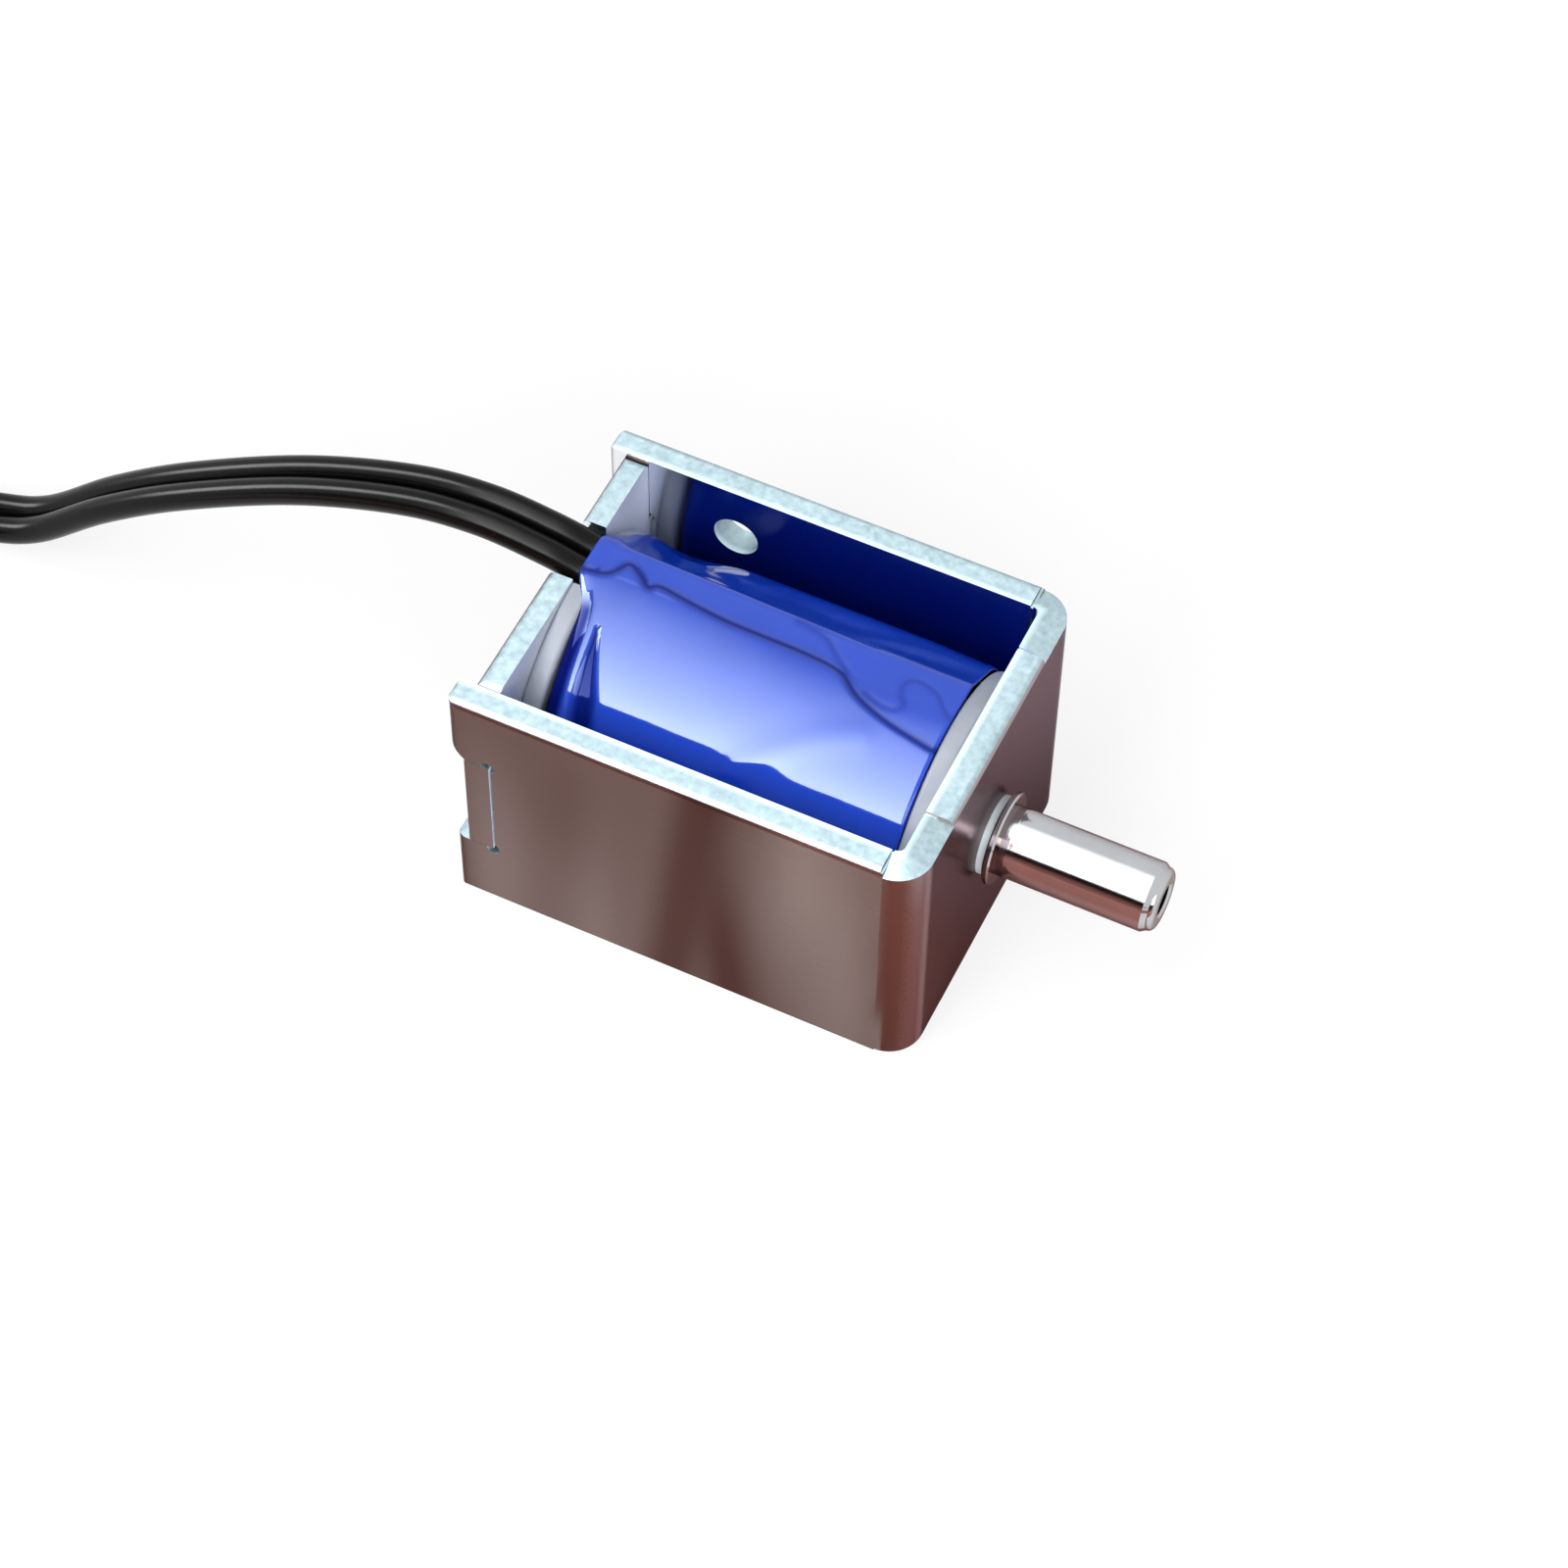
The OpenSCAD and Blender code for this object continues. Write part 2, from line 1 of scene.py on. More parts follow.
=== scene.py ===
# %% [markdown]
# # Micro solenoid valve
# A small air valve: a steel strip bent into a U, a taped coil in it, a nickel-plated hose nozzle in front
# and two black leads behind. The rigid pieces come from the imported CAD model, which is the fixed frame of
# this scene. Here every surface gets its finish, and the soft pieces, the tape and the leads, get their
# real shape.

# %% Load the frame
import math

import bpy
import numpy as np
from mathutils import Matrix, Vector


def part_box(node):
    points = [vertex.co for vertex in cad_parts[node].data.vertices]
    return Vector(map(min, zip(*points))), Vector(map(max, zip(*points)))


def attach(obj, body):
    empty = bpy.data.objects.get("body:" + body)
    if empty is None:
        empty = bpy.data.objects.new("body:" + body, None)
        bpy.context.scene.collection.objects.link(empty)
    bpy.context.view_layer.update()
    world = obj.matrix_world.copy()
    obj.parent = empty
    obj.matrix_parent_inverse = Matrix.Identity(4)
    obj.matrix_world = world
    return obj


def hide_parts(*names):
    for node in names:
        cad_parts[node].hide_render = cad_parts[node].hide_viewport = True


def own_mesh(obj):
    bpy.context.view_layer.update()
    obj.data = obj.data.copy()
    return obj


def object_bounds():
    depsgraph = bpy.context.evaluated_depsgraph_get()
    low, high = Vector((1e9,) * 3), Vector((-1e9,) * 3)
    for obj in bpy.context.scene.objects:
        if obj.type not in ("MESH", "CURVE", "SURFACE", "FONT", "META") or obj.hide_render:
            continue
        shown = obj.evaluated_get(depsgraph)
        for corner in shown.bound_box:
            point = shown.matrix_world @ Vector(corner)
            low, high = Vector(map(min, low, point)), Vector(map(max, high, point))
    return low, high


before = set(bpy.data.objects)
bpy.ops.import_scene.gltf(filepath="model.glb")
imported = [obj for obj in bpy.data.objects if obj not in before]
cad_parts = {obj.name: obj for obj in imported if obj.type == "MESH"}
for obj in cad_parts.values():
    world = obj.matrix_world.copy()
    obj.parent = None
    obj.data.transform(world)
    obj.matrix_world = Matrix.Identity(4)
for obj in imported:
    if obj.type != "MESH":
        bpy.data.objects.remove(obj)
cad_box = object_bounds()
print("nodes:", ", ".join(sorted(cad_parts)))

# %% [markdown]
# ## Units, selections and places
# Blender works in metres, and the frame of this valve is 20.5 mm long, so its sizes are written in
# millimetres and turned once. Loading leaves the CAD pieces selected, and operators act on all that is
# selected, so each new piece starts from an empty selection. A camera or a lamp is data in an object that is
# linked to the scene.

# %% Millimetres, an empty selection and new objects
MM = 0.001


def mm(values):
    """Points or sizes in millimetres, as metres."""
    return np.asarray(values, float) * MM


def in_mm(box):
    """The low and the high corner of a box, in millimetres."""
    return [np.array(corner) / MM for corner in box]


def select_only(*pieces):
    """Selects these pieces and nothing else, the first of them active."""
    bpy.ops.object.select_all(action="DESELECT")
    for piece in pieces:
        piece.select_set(True)
    if pieces:
        bpy.context.view_layer.objects.active = pieces[0]


def in_scene(name, data):
    """A new object for a camera, a lamp or a curve, linked to the scene."""
    piece = bpy.data.objects.new(name, data)
    bpy.context.scene.collection.objects.link(piece)
    return piece


def stand(piece, place, across, upright, away):
    """Puts a camera or a lamp at a place, with its own X, Y and Z along three directions."""
    axes = Matrix((across, upright, away)).transposed().to_4x4()
    piece.matrix_world = Matrix.Translation(place) @ axes


select_only()
cad_low, cad_high = in_mm(cad_box)
print("the part is", np.round(cad_high - cad_low, 1), "mm")

# %% [markdown]
# ## Camera
# The photograph looks down on the valve from its front right corner with a long lens. The angle, distance
# and lens were worked out from the corners of the steel frame, with its sizes in the CAD model. The view
# could be set with a tracking constraint, but a constraint can't roll the camera, so the three axes are
# written out.

# %% Camera
AZIMUTH = math.radians(25.07)
ELEVATION = math.radians(54.09)
ROLL = math.radians(0.77)
DISTANCE = 185.86 * MM
TARGET = Vector(mm((-3.75, 0, 5)))
SENSOR_WIDTH = 36
FOCAL_LENGTH = 103.87
SHIFT_X, SHIFT_Y = 0.01347, -0.01301
NEAREST_SEEN = 10 * MM

right = Vector((math.cos(AZIMUTH), math.sin(AZIMUTH), 0))
level = Vector((math.sin(AZIMUTH), -math.cos(AZIMUTH), 0))
back = math.cos(ELEVATION) * level + math.sin(ELEVATION) * Vector((0, 0, 1))
up = back.cross(right)
rolled_right = math.cos(ROLL) * right + math.sin(ROLL) * up
rolled_up = math.cos(ROLL) * up - math.sin(ROLL) * right

lens = bpy.data.cameras.new("product_camera")
lens.sensor_width = SENSOR_WIDTH
lens.lens = FOCAL_LENGTH
lens.shift_x = SHIFT_X
lens.shift_y = SHIFT_Y
lens.clip_start = NEAREST_SEEN
camera = in_scene("product_camera", lens)
stand(camera, TARGET + DISTANCE * back, rolled_right, rolled_up, back)
bpy.context.scene.camera = camera
print("the camera stands", round(camera.location.z / MM), "mm above the floor")

# %% [markdown]
# ## Leads
# Two limp black leads leave the coil side by side, through the notch in the rear plate, rise a little and
# come down to the table. A lead could be a mesh tube, but a curve with a round bevel keeps its own middle
# line, so it stays one smooth tube at any bend. The route is the middle line of the pair, in millimetres,
# with half the distance between the two leads as its fourth number, and each lead runs beside it.

# %% The route of the leads
LEAD_D = 1.2
LEAD_ROUTE = [
    (-11.4, 1.3, 12.24, 0.63),
    (-12.2, 1.3, 12.29, 0.63),
    (-14, 1.3, 12.69, 0.63),
    (-17, 1.25, 13, 0.63),
    (-20.5, 1.15, 12.5, 0.63),
    (-25.5, 0.9, 10.7, 0.63),
    (-31, 0.6, 7.7, 0.63),
    (-35, 0.4, 4.9, 0.63),
    (-38.5, 0.2, 1.9, 0.63),
    (-41, 0, 0.85, 0.65),
    (-44, -0.5, 0.65, 0.7),
    (-49, -2, 0.65, 0.8),
    (-54, -3, 0.65, 0.8),
    (-59, -2.4, 0.65, 0.8),
    (-64, -0.8, 0.65, 0.8),
    (-69, 0.8, 0.65, 1),
    (-74, 1.5, 0.65, 1.4),
    (-79, 1.2, 0.65, 2),
]
LEAD_STEPS = 8


def unit(vectors):
    """Vectors of length one."""
    return vectors / np.linalg.norm(vectors, axis=-1, keepdims=True)


def headings(points):
    """The direction of a line at each of its points."""
    following = np.vstack([points[1:], points[-1:]])
    before = np.vstack([points[:1], points[:-1]])
    return unit(following - before)


def beside(route, side):
    """One lead's own points: the middle line moved sideways by half the gap."""
    route = np.array(route)
    sideways = unit(np.cross(headings(route[:, :3]), (0, 0, 1)))
    return route[:, :3] + side * route[:, 3:] * sideways


def smooth_line(points, steps):
    """A smooth curve through the points, with some steps between each two."""
    padded = np.vstack([points[:1], points, points[-1:]])
    line = []
    for a, b, c, d in zip(padded, padded[1:], padded[2:], padded[3:]):
        for t in np.arange(steps) / steps:
            slope = (c - a) * t
            bow = (2 * a - 5 * b + 4 * c - d) * t**2
            twist = (3 * b - a - 3 * c + d) * t**3
            line.append((2 * b + slope + bow + twist) / 2)
    return np.array(line + [points[-1]])


lead_lines = {
    name: smooth_line(beside(LEAD_ROUTE, side), LEAD_STEPS) for name, side in (("lead_a", 1), ("lead_b", -1))
}

# %% [markdown]
# A wire is a line with a round section. The same helper draws the leads, the strands at their ends and the
# spring inside, each from its own points. A curve's box grows by the radius of its points, which is a metre
# unless it is set, so here the points carry one millimetre and the bevel is given in millimetres.

# %% A wire along a line
BEVEL_RESOLUTION = 8


def wire(name, line, diameter):
    """A curve of one open spline along a line in millimetres, with a round section and closed ends."""
    path = bpy.data.curves.new(name, "CURVE")
    path.dimensions = "3D"
    path.bevel_depth = diameter / 2
    path.bevel_resolution = BEVEL_RESOLUTION
    path.use_fill_caps = True
    spline = path.splines.new("POLY")
    spline.points.add(len(line) - 1)
    spline.points.foreach_set("co", np.column_stack([mm(line), np.ones(len(line))]).ravel())
    spline.points.foreach_set("radius", np.full(len(line), MM))
    spline.use_smooth = True
    return in_scene(name, path)


def as_mesh(name, *pieces):
    """Turns pieces into one mesh."""
    select_only(*pieces)
    bpy.ops.object.convert(target="MESH")
    if len(pieces) > 1:
        bpy.ops.object.join()
    bpy.context.object.name = name
    return bpy.context.object


leads = {name: wire(f"{name}_insulation", line, LEAD_D) for name, line in lead_lines.items()}
print("made", ", ".join(lead.name for lead in leads.values()))

# %% [markdown]
# Where the leads end, 3 mm of the insulation is stripped, and seven tinned strands show, twisted together.
# One strand runs straight along the middle, and six lie round it in a slow screw.

# %% Stripped ends
STRAND_D = 0.16
OUTER_STRANDS = 6
BARE_LENGTH = 3
STRAND_TURNS = 0.6
STRAND_STEPS = 24


def strand_line(start, heading, angle):
    """One strand: straight along the middle where angle is None, or else a slow screw round it."""
    along = np.linspace(0, 1, STRAND_STEPS)[:, None]
    line = start + along * BARE_LENGTH * heading
    if angle is None:
        return line
    sideways = unit(np.cross(heading, (0, 0, 1)))
    rise = np.cross(sideways, heading)
    turn = angle + 2 * math.pi * STRAND_TURNS * along
    return line + STRAND_D * (np.cos(turn) * sideways + np.sin(turn) * rise)


angles = [None] + [2 * math.pi * k / OUTER_STRANDS for k in range(OUTER_STRANDS)]
tips = {}
for name, line in lead_lines.items():
    end_heading = headings(line)[-1]
    strands = [wire("strand", strand_line(line[-1], end_heading, angle), STRAND_D) for angle in angles]
    tips[name] = as_mesh(f"{name}_strands", *strands)
print("strands:", [len(tip.data.vertices) for tip in tips.values()], "points")

# %% [markdown]
# The leads and their ends ride on the valve's body.

for name, lead in leads.items():
    tip = tips[name]
    tip_node = name.replace("lead", "lead_tip")
    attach(lead, "valve_body")
    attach(tip, "valve_body")
    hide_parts(name)
    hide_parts(tip_node)
print("the leads leave the coil at", [np.round(line[0], 2).tolist() for line in lead_lines.values()])

# %% [markdown]
# ## Tape
# The coil is wound with a few turns of thin glossy blue film. The film covers the solder joints of the two
# leads on top of the coil, so it stands up there in a ridge that sinks towards the front. It was pulled
# tight by hand, so it wrinkles, bags a little and is drawn in over the rear end of the coil. A cloth
# simulation could drape it, but stretched film follows what is under it, so a flat strip of film is laid
# out as a grid and wrapped by a formula: round the coil and the joints first, then with each crease along
# its own line.

# %% What lies under the film
FILM_INSET = 0.02
REAR_INSET = 0.05
LEAD_HOLD = 2
JOINT_RISE = 0.15
tape_low, tape_high = in_mm(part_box("tape_wrap"))
winding_low, winding_high = in_mm(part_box("winding"))
AXIS_Z = (winding_low[2] + winding_high[2]) / 2
FILM_R = AXIS_Z - tape_low[2] - FILM_INSET
FILM_FRONT = tape_high[0]
FILM_REAR = winding_low[0] + REAR_INSET
CUFF_REAR = tape_low[0]
LEAD_X, LEAD_Y, LEAD_Z, LEAD_GAP = LEAD_ROUTE[0]
JOINT_Z = LEAD_Z + JOINT_RISE
JOINT_END = LEAD_X + LEAD_HOLD
print("the film runs from x", round(FILM_REAR, 2), "to", round(FILM_FRONT, 2), "at radius", round(FILM_R, 2))

# %% [markdown]
# Tight film runs straight from one thing it touches to the next. For one station along the coil, what it
# touches are circles: the coil, the two leads at the rear and the two joints after them. Each of the small
# circles is written as its place, its radius with the film over it, the stations between which it sinks,
# and how far. The distance from the axis to the stretched outline, at an angle from the top, is the nearest
# of all the straight lines that touch the circles from outside. On the near side the film is not quite
# tight: it swells in one round arc from the brow of the ridge down to where it lands on the coil, which
# spreads the light over it.

# %% The stretched outline
TANGENTS = np.radians(np.arange(-180, 180, 1.0))
LEAST_FACING = 0.2
BROW = math.radians(-5)
LANDING = math.radians(64)
OVER_LEAD_R, LEAD_SINK = 0.76, 0.55
OVER_JOINT_R, JOINT_SINK = 0.45, 0.5
UNDER_FILM = []
for y in (LEAD_Y - LEAD_GAP, LEAD_Y + LEAD_GAP):
    UNDER_FILM.append((y, LEAD_Z, OVER_LEAD_R, CUFF_REAR, JOINT_END, LEAD_SINK))
    UNDER_FILM.append((y, JOINT_Z, OVER_JOINT_R, JOINT_END, FILM_FRONT, JOINT_SINK))


def ramp(value, start, end):
    """Rises from 0 at start to 1 at end, with a soft beginning and end."""
    t = np.clip((value - start) / (end - start), 0, 1)
    return t * t * (3 - 2 * t)


def stretched(x, angle):
    """Distance from the axis to the tight film. The angle is from the top, towards -Y."""
    reach = np.full((len(x), len(TANGENTS)), FILM_R)
    for y, z, radius, full, gone, fall in UNDER_FILM:
        sink = fall * np.clip((x - full) / (gone - full), 0, 1)
        height = z - AXIS_Z - sink[:, None]
        reach = np.maximum(reach, height * np.cos(TANGENTS) - y * np.sin(TANGENTS) + radius)
    facing = np.cos(TANGENTS[None, :] - angle[:, None])
    distance = np.where(facing > LEAST_FACING, reach / np.maximum(facing, LEAST_FACING), np.inf)
    return distance.min(axis=1)


def swollen(x, angle):
    """Distance from the axis to the round arc from the brow of the ridge to its landing on the coil."""
    brow = stretched(x, np.full(len(x), BROW))
    swell = (brow**2 - FILM_R**2) / (2 * (FILM_R - brow * math.cos(LANDING - BROW)))
    lean = LANDING - angle
    return np.sqrt((FILM_R + swell) ** 2 - (swell * np.sin(lean)) ** 2) - swell * np.cos(lean)


def outline(x, angle):
    """Distance from the axis to the film: tight on the far side, swollen on the near one."""
    on_flank = (angle > BROW) & (angle < LANDING)
    return np.where(on_flank, swollen(x, angle), stretched(x, angle))


along_ridge = np.array([-11.8, -10.0, 0.0])
ridge = outline(along_ridge, np.full(len(along_ridge), BROW)) - FILM_R
print("the ridge stands", np.round(ridge, 2), "mm above the coil at x", along_ridge)

# %% [markdown]
# The creases are lines on the flat film: each point is a station along the coil in millimetres and an angle
# from the top in degrees. A smooth curve is laid through the points. At the free end the film on the near
# side lies on top, so there the surface steps up. The other lines are grooves and low folds.

# %% Lines of the creases
FREE_END = [
    (-12.2, -3), (-11, -6), (-10.45, -12.5), (-9.8, -10), (-9.25, -6.5), (-8.8, -8.6), (-7.4, -7.2),
    (-5.8, -6), (-4.1, -6), (-2.4, -6.2), (-0.7, -4.5), (0.5, 3), (2.1, 8.5), (4.6, 13),
]
SIDE_TUCK = [(-3.2, -17.5), (-1.9, -16), (-1.1, -10.5), (-0.4, -6)]
FRONT_CRINKLE = [
    (0.7, 0), (1.3, 2.2), (1.95, 2.6), (2.3, -0.8), (2, -5), (1.9, -9.5), (2.3, -13.5), (3.2, -11.5),
    (3.7, -7), (4.2, -2.5),
]
CREST = [(-11.5, -23), (-8, -25), (-3.5, -25), (-1.5, -24), (0.8, -32), (2.5, -36), (4.6, -39)]
REAR_DIP = [(-10.3, 16), (-10, 30), (-9.7, 44), (-9.5, 60)]
FLANK_FOLD = [(-2.9, 46), (-2, 38), (-0.4, 26), (1.3, 18)]
LINE_STEPS = 5


def from_line(points, x, angle):
    """Distance on the flat film from a smooth line, negative on its far side."""
    corners = np.array([(station, math.radians(degrees) * FILM_R) for station, degrees in points])
    line = smooth_line(corners, LINE_STEPS)
    girth = angle * FILM_R
    nearest = np.full(len(x), np.inf)
    side = np.ones(len(x))
    for (start_x, start_girth), (end_x, end_girth) in zip(line, line[1:]):
        run, climb = end_x - start_x, end_girth - start_girth
        on, off = x - start_x, girth - start_girth
        share = np.clip((on * run + off * climb) / (run * run + climb * climb), 0, 1)
        away = np.hypot(on - share * run, off - share * climb)
        across = run * off - climb * on
        side = np.where(away < nearest, np.where(across < 0, -1, 1), side)
        nearest = np.minimum(nearest, away)
    return nearest * side


def pressed(distance, width):
    """A soft groove or swelling: 1 on the line and 0 past about twice the width."""
    return np.exp(-((distance / width) ** 2))


def lapped(distance, height, step, fade):
    """A lap: a soft step up on the near side of the line, which fades out behind it."""
    behind = np.clip(distance, 0, None)
    return height * (1 - np.exp(-((behind / step) ** 2))) * np.exp(-behind / fade)


print("the free end is a line through", len(FREE_END), "points")

# %% [markdown]
# Each crease has a width and a height or a depth in millimetres. At the free end, in the wrinkles and in the
# dip the film lies double, and a share is kept for its colour: partly the deeper colour of two layers, and
# partly painted shade, a dark line along the lap and a dark wedge in the dip. The dip at the rear is a wedge,
# which widens down the flank over an angle in degrees.

# %% Creases
LAP_H, LAP_STEP, LAP_FADE = 0.05, 0.16, 1.3
LAP_GROOVE_W, LAP_GROOVE_D = 0.12, 0.03
LAP_SHADE_W = 0.19
WRINKLE_W, WRINKLE_D = 0.16, 0.015
FOLD_W, FOLD_H = 0.65, 0.075
CREST_W, CREST_H = 0.5, 0.03
DIP_D = 0.1
DIP_TOP, DIP_HEIGHT = 17, 26
DIP_TIP_W, DIP_SPREAD = 0.08, 0.45
DIP_FLOOR, DIP_RIM = 0.4, 1.3


def creases(x, angle):
    """How far the creases lift the film from its outline, and their share of double film and painted shade.
    """
    free_end = from_line(FREE_END, x, angle)
    wrinkle = pressed(from_line(SIDE_TUCK, x, angle), WRINKLE_W)
    wrinkle += pressed(from_line(FRONT_CRINKLE, x, angle), WRINKLE_W)
    wedge = DIP_TIP_W + DIP_SPREAD * np.clip((np.degrees(angle) - DIP_TOP) / DIP_HEIGHT, 0, 1)
    dip = 1 - ramp(np.abs(from_line(REAR_DIP, x, angle)), DIP_FLOOR * wedge, DIP_RIM * wedge)
    lift = lapped(free_end, LAP_H, LAP_STEP, LAP_FADE) - LAP_GROOVE_D * pressed(free_end, LAP_GROOVE_W)
    lift += CREST_H * pressed(from_line(CREST, x, angle), CREST_W)
    lift += FOLD_H * pressed(from_line(FLANK_FOLD, x, angle), FOLD_W)
    lift -= DIP_D * dip + WRINKLE_D * wrinkle
    # Painted shade: the dark line along the lap and the dark wedge of the dip are shade painted into the
    # film's colour, on top of the deeper colour where it lies double.
    doubled_and_shaded = 0.8 * pressed(free_end, LAP_SHADE_W) + 0.3 * wrinkle + 0.9 * dip
    return lift, doubled_and_shaded


lift, doubled_and_shaded = creases(np.array([-10.0]), np.radians([30.0]))
print("the film dips by", round(-lift[0], 2), "mm at the rear")

# %% [markdown]
# Elsewhere the film is loose: it stands up in a small dome beside the leads, bags along the far side under
# a lip, and waves a little all over. These forms are placed as the creases are.

# %% Loose film
DOME_X, DOME_ANGLE, DOME_H = -10.9, -39, 0.42
DOME_LENGTH, DOME_SPREAD = 1, 11
BAG_ANGLE, BAG_SPREAD, BAG_H = -46, 15, 0.34
LIP_ANGLE, LIP_SPREAD, LIP_H = -34, 7, 0.09
WAVE_H, RIPPLE_H = 0.012, 0.004


def dome(x, degrees):
    """The dome beside the leads: 1 in its middle."""
    return pressed(x - DOME_X, DOME_LENGTH) * pressed(degrees - DOME_ANGLE, DOME_SPREAD)


def looseness(x, degrees):
    """How far the loose film stands off its outline."""
    bag = ramp(x, -9.5, -6.5) * (1 - 0.2 * ramp(x, 1, 4.3)) * pressed(degrees - BAG_ANGLE, BAG_SPREAD)
    lip = ramp(x, -11, -9) * (1 - ramp(x, -6, -4)) * pressed(degrees - LIP_ANGLE, LIP_SPREAD)
    girth = np.radians(degrees) * FILM_R
    wave = np.sin(0.75 * x + 0.35 * girth + 0.8) * np.cos(0.55 * girth - 0.3 * x)
    ripple = np.sin(1.9 * x - 0.8 * girth) * np.sin(1.3 * girth + 0.6 * x + 1)
    return DOME_H * dome(x, degrees) + BAG_H * bag + LIP_H * lip + WAVE_H * wave + RIPPLE_H * ripple


bag_top = looseness(np.array([-4.0]), np.array([BAG_ANGLE]))
print("the film bags by", round(bag_top[0], 2), "mm on the far side")

# %% [markdown]
# The flat strip is finer where it shows, on top, and coarser underneath. Wrapped, its two long edges meet
# below the coil in an open seam: the waves leave a step of up to 0.02 mm there, and only points that coincide
# are merged. A thin wall is then added inwards by Solidify. Over the leads the film reaches back in a cuff,
# and from there its rear edge curves forward down both sides.

# %% The wrapped strip
FINE_HALF = math.radians(72)
FINE_SHARE = 0.84
REAR_SHOULDER, REAR_DROP = 0.8, 0.38
FRONT_SHOULDER, FRONT_DROP = 0.25, 0.08
CUFF_FAR, CUFF_FULL, CUFF_NEAR, CUFF_FADE = -50, -24, -4, 9


def film_angle(v):
    """Angle from the top for a place v across the strip, -1 to 1, with most of the strip on top."""
    fine = v / FINE_SHARE * FINE_HALF
    coarse = FINE_HALF + (np.abs(v) - FINE_SHARE) / (1 - FINE_SHARE) * (math.pi - FINE_HALF)
    return np.where(np.abs(v) < FINE_SHARE, fine, np.sign(v) * coarse)


def shoulder(distance, length):
    """How far a round shoulder has fallen: 1 at the edge and 0 from its length on."""
    t = np.clip(distance / length, 0, 1)
    return 1 - np.sqrt(1 - (1 - t) ** 2)


def wrap_film(u, v):
    """Places of the film's points, in millimetres, and the share of double film and painted shade at each."""
    angle = film_angle(v)
    degrees = np.degrees(angle)
    past_leads = np.clip(degrees - CUFF_NEAR, 0, None)
    over_leads = ramp(degrees, CUFF_FAR, CUFF_FULL) / (1 + (past_leads / CUFF_FADE) ** 2)
    rear = FILM_REAR + (CUFF_REAR - FILM_REAR) * over_leads
    x = rear + (u + 1) / 2 * (FILM_FRONT - rear)

    lift, doubled_and_shaded = creases(x, angle)
    r = outline(x, angle) + lift + looseness(x, degrees)
    r -= REAR_DROP * (1 - 0.6 * over_leads) * shoulder(x - rear, REAR_SHOULDER)
    r -= FRONT_DROP * shoulder(FILM_FRONT - x, FRONT_SHOULDER)
    places = np.column_stack([x, -r * np.sin(angle), AXIS_Z + r * np.cos(angle)])
    # Painted shade: the film drawn in over the rear end, and the dome beside the leads, are darkened in
    # colour.
    drawn_in_shade = ramp(degrees, 2, 12) * (1 - ramp(x - rear, 0.45, 0.85))
    return places, np.clip(doubled_and_shaded + drawn_in_shade + 0.6 * dome(x, degrees), 0, 1)


rear_edge, _ = wrap_film(np.array([-1.0]), np.array([0.0]))
print("the cuff over the leads starts at x", round(rear_edge[0, 0], 2))

# %% Wrap the film
ROWS = 200
COLUMNS = 240
FILM_T = 0.06
MERGE_WITHIN = 0.001

select_only()
bpy.ops.mesh.primitive_grid_add(x_subdivisions=ROWS, y_subdivisions=COLUMNS, size=2)
film = bpy.context.object
film.name = "blue_film"
flat = np.empty(3 * len(film.data.vertices))
film.data.vertices.foreach_get("co", flat)
flat = flat.reshape(-1, 3)
places, doubled_and_shaded = wrap_film(flat[:, 0], flat[:, 1])
film.data.vertices.foreach_set("co", mm(places).ravel())
film.data.attributes.new("doubled_and_shaded", "FLOAT", "POINT").data.foreach_set("value", doubled_and_shaded)
bpy.ops.object.mode_set(mode="EDIT")
bpy.ops.mesh.select_all(action="SELECT")
bpy.ops.mesh.remove_doubles(threshold=MERGE_WITHIN * MM)
bpy.ops.mesh.normals_make_consistent(inside=False)
bpy.ops.object.mode_set(mode="OBJECT")
bpy.ops.object.shade_smooth()
wall = film.modifiers.new("film_thickness", "SOLIDIFY")
wall.thickness = FILM_T * MM
wall.offset = -1
bpy.ops.object.modifier_apply(modifier=wall.name)
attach(film, "valve_body")
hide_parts("tape_wrap")
print("film:", len(film.data.polygons), "faces")

# %% [markdown]
# ## Return spring
# Inside, a small steel spring stands between the plunger's shoulder and the core. Its end turns lie flat
# and the turns between are open. It shortens as the plunger moves.

# %% Return spring
SPRING_WIRE_D = 0.25
SPRING_TURNS = 5
SPRING_STEPS = 40
END_PITCH = 1.1 * SPRING_WIRE_D
spring_low, spring_high = in_mm(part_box("return_spring"))
spring_r = (spring_high[1] - spring_low[1] - SPRING_WIRE_D) / 2
spring_start = spring_low[0] + SPRING_WIRE_D / 2
spring_end = spring_high[0] - SPRING_WIRE_D / 2

turns = np.linspace(0, SPRING_TURNS, SPRING_TURNS * SPRING_STEPS)
spring_x = np.interp(
    turns,
    [0, 1, SPRING_TURNS - 1, SPRING_TURNS],
    [spring_start, spring_start + END_PITCH, spring_end - END_PITCH, spring_end],
)
spring_line = np.column_stack([
    spring_x,
    spring_r * np.sin(2 * math.pi * turns),
    AXIS_Z + spring_r * np.cos(2 * math.pi * turns),
])
spring = as_mesh("spring_wire", wire("spring_wire", spring_line, SPRING_WIRE_D))
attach(spring, "valve_body")
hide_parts("return_spring")
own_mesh(spring)

# %% [markdown]
# ## Finishes
# Each finish starts from what the surface is and how it was made. Colours are written as the eye sees them,
# in sRGB, and turned to the linear values that light is reckoned in. One helper adds a node, sets it and
# links it. A Mix node blends numbers unless it is told to blend colours: these go in at its sockets 6 and 7
# and come out at 2.

# %% Colours and nodes
RGBA = {"data_type": "RGBA"}


def linear(hex_colour):
    """An sRGB hex colour as linear RGBA."""
    channels = [int(hex_colour[i:i + 2], 16) / 255 for i in (1, 3, 5)]
    return [*(c / 12.92 if c <= 0.04045 else ((c + 0.055) / 1.055) ** 2.4 for c in channels), 1]


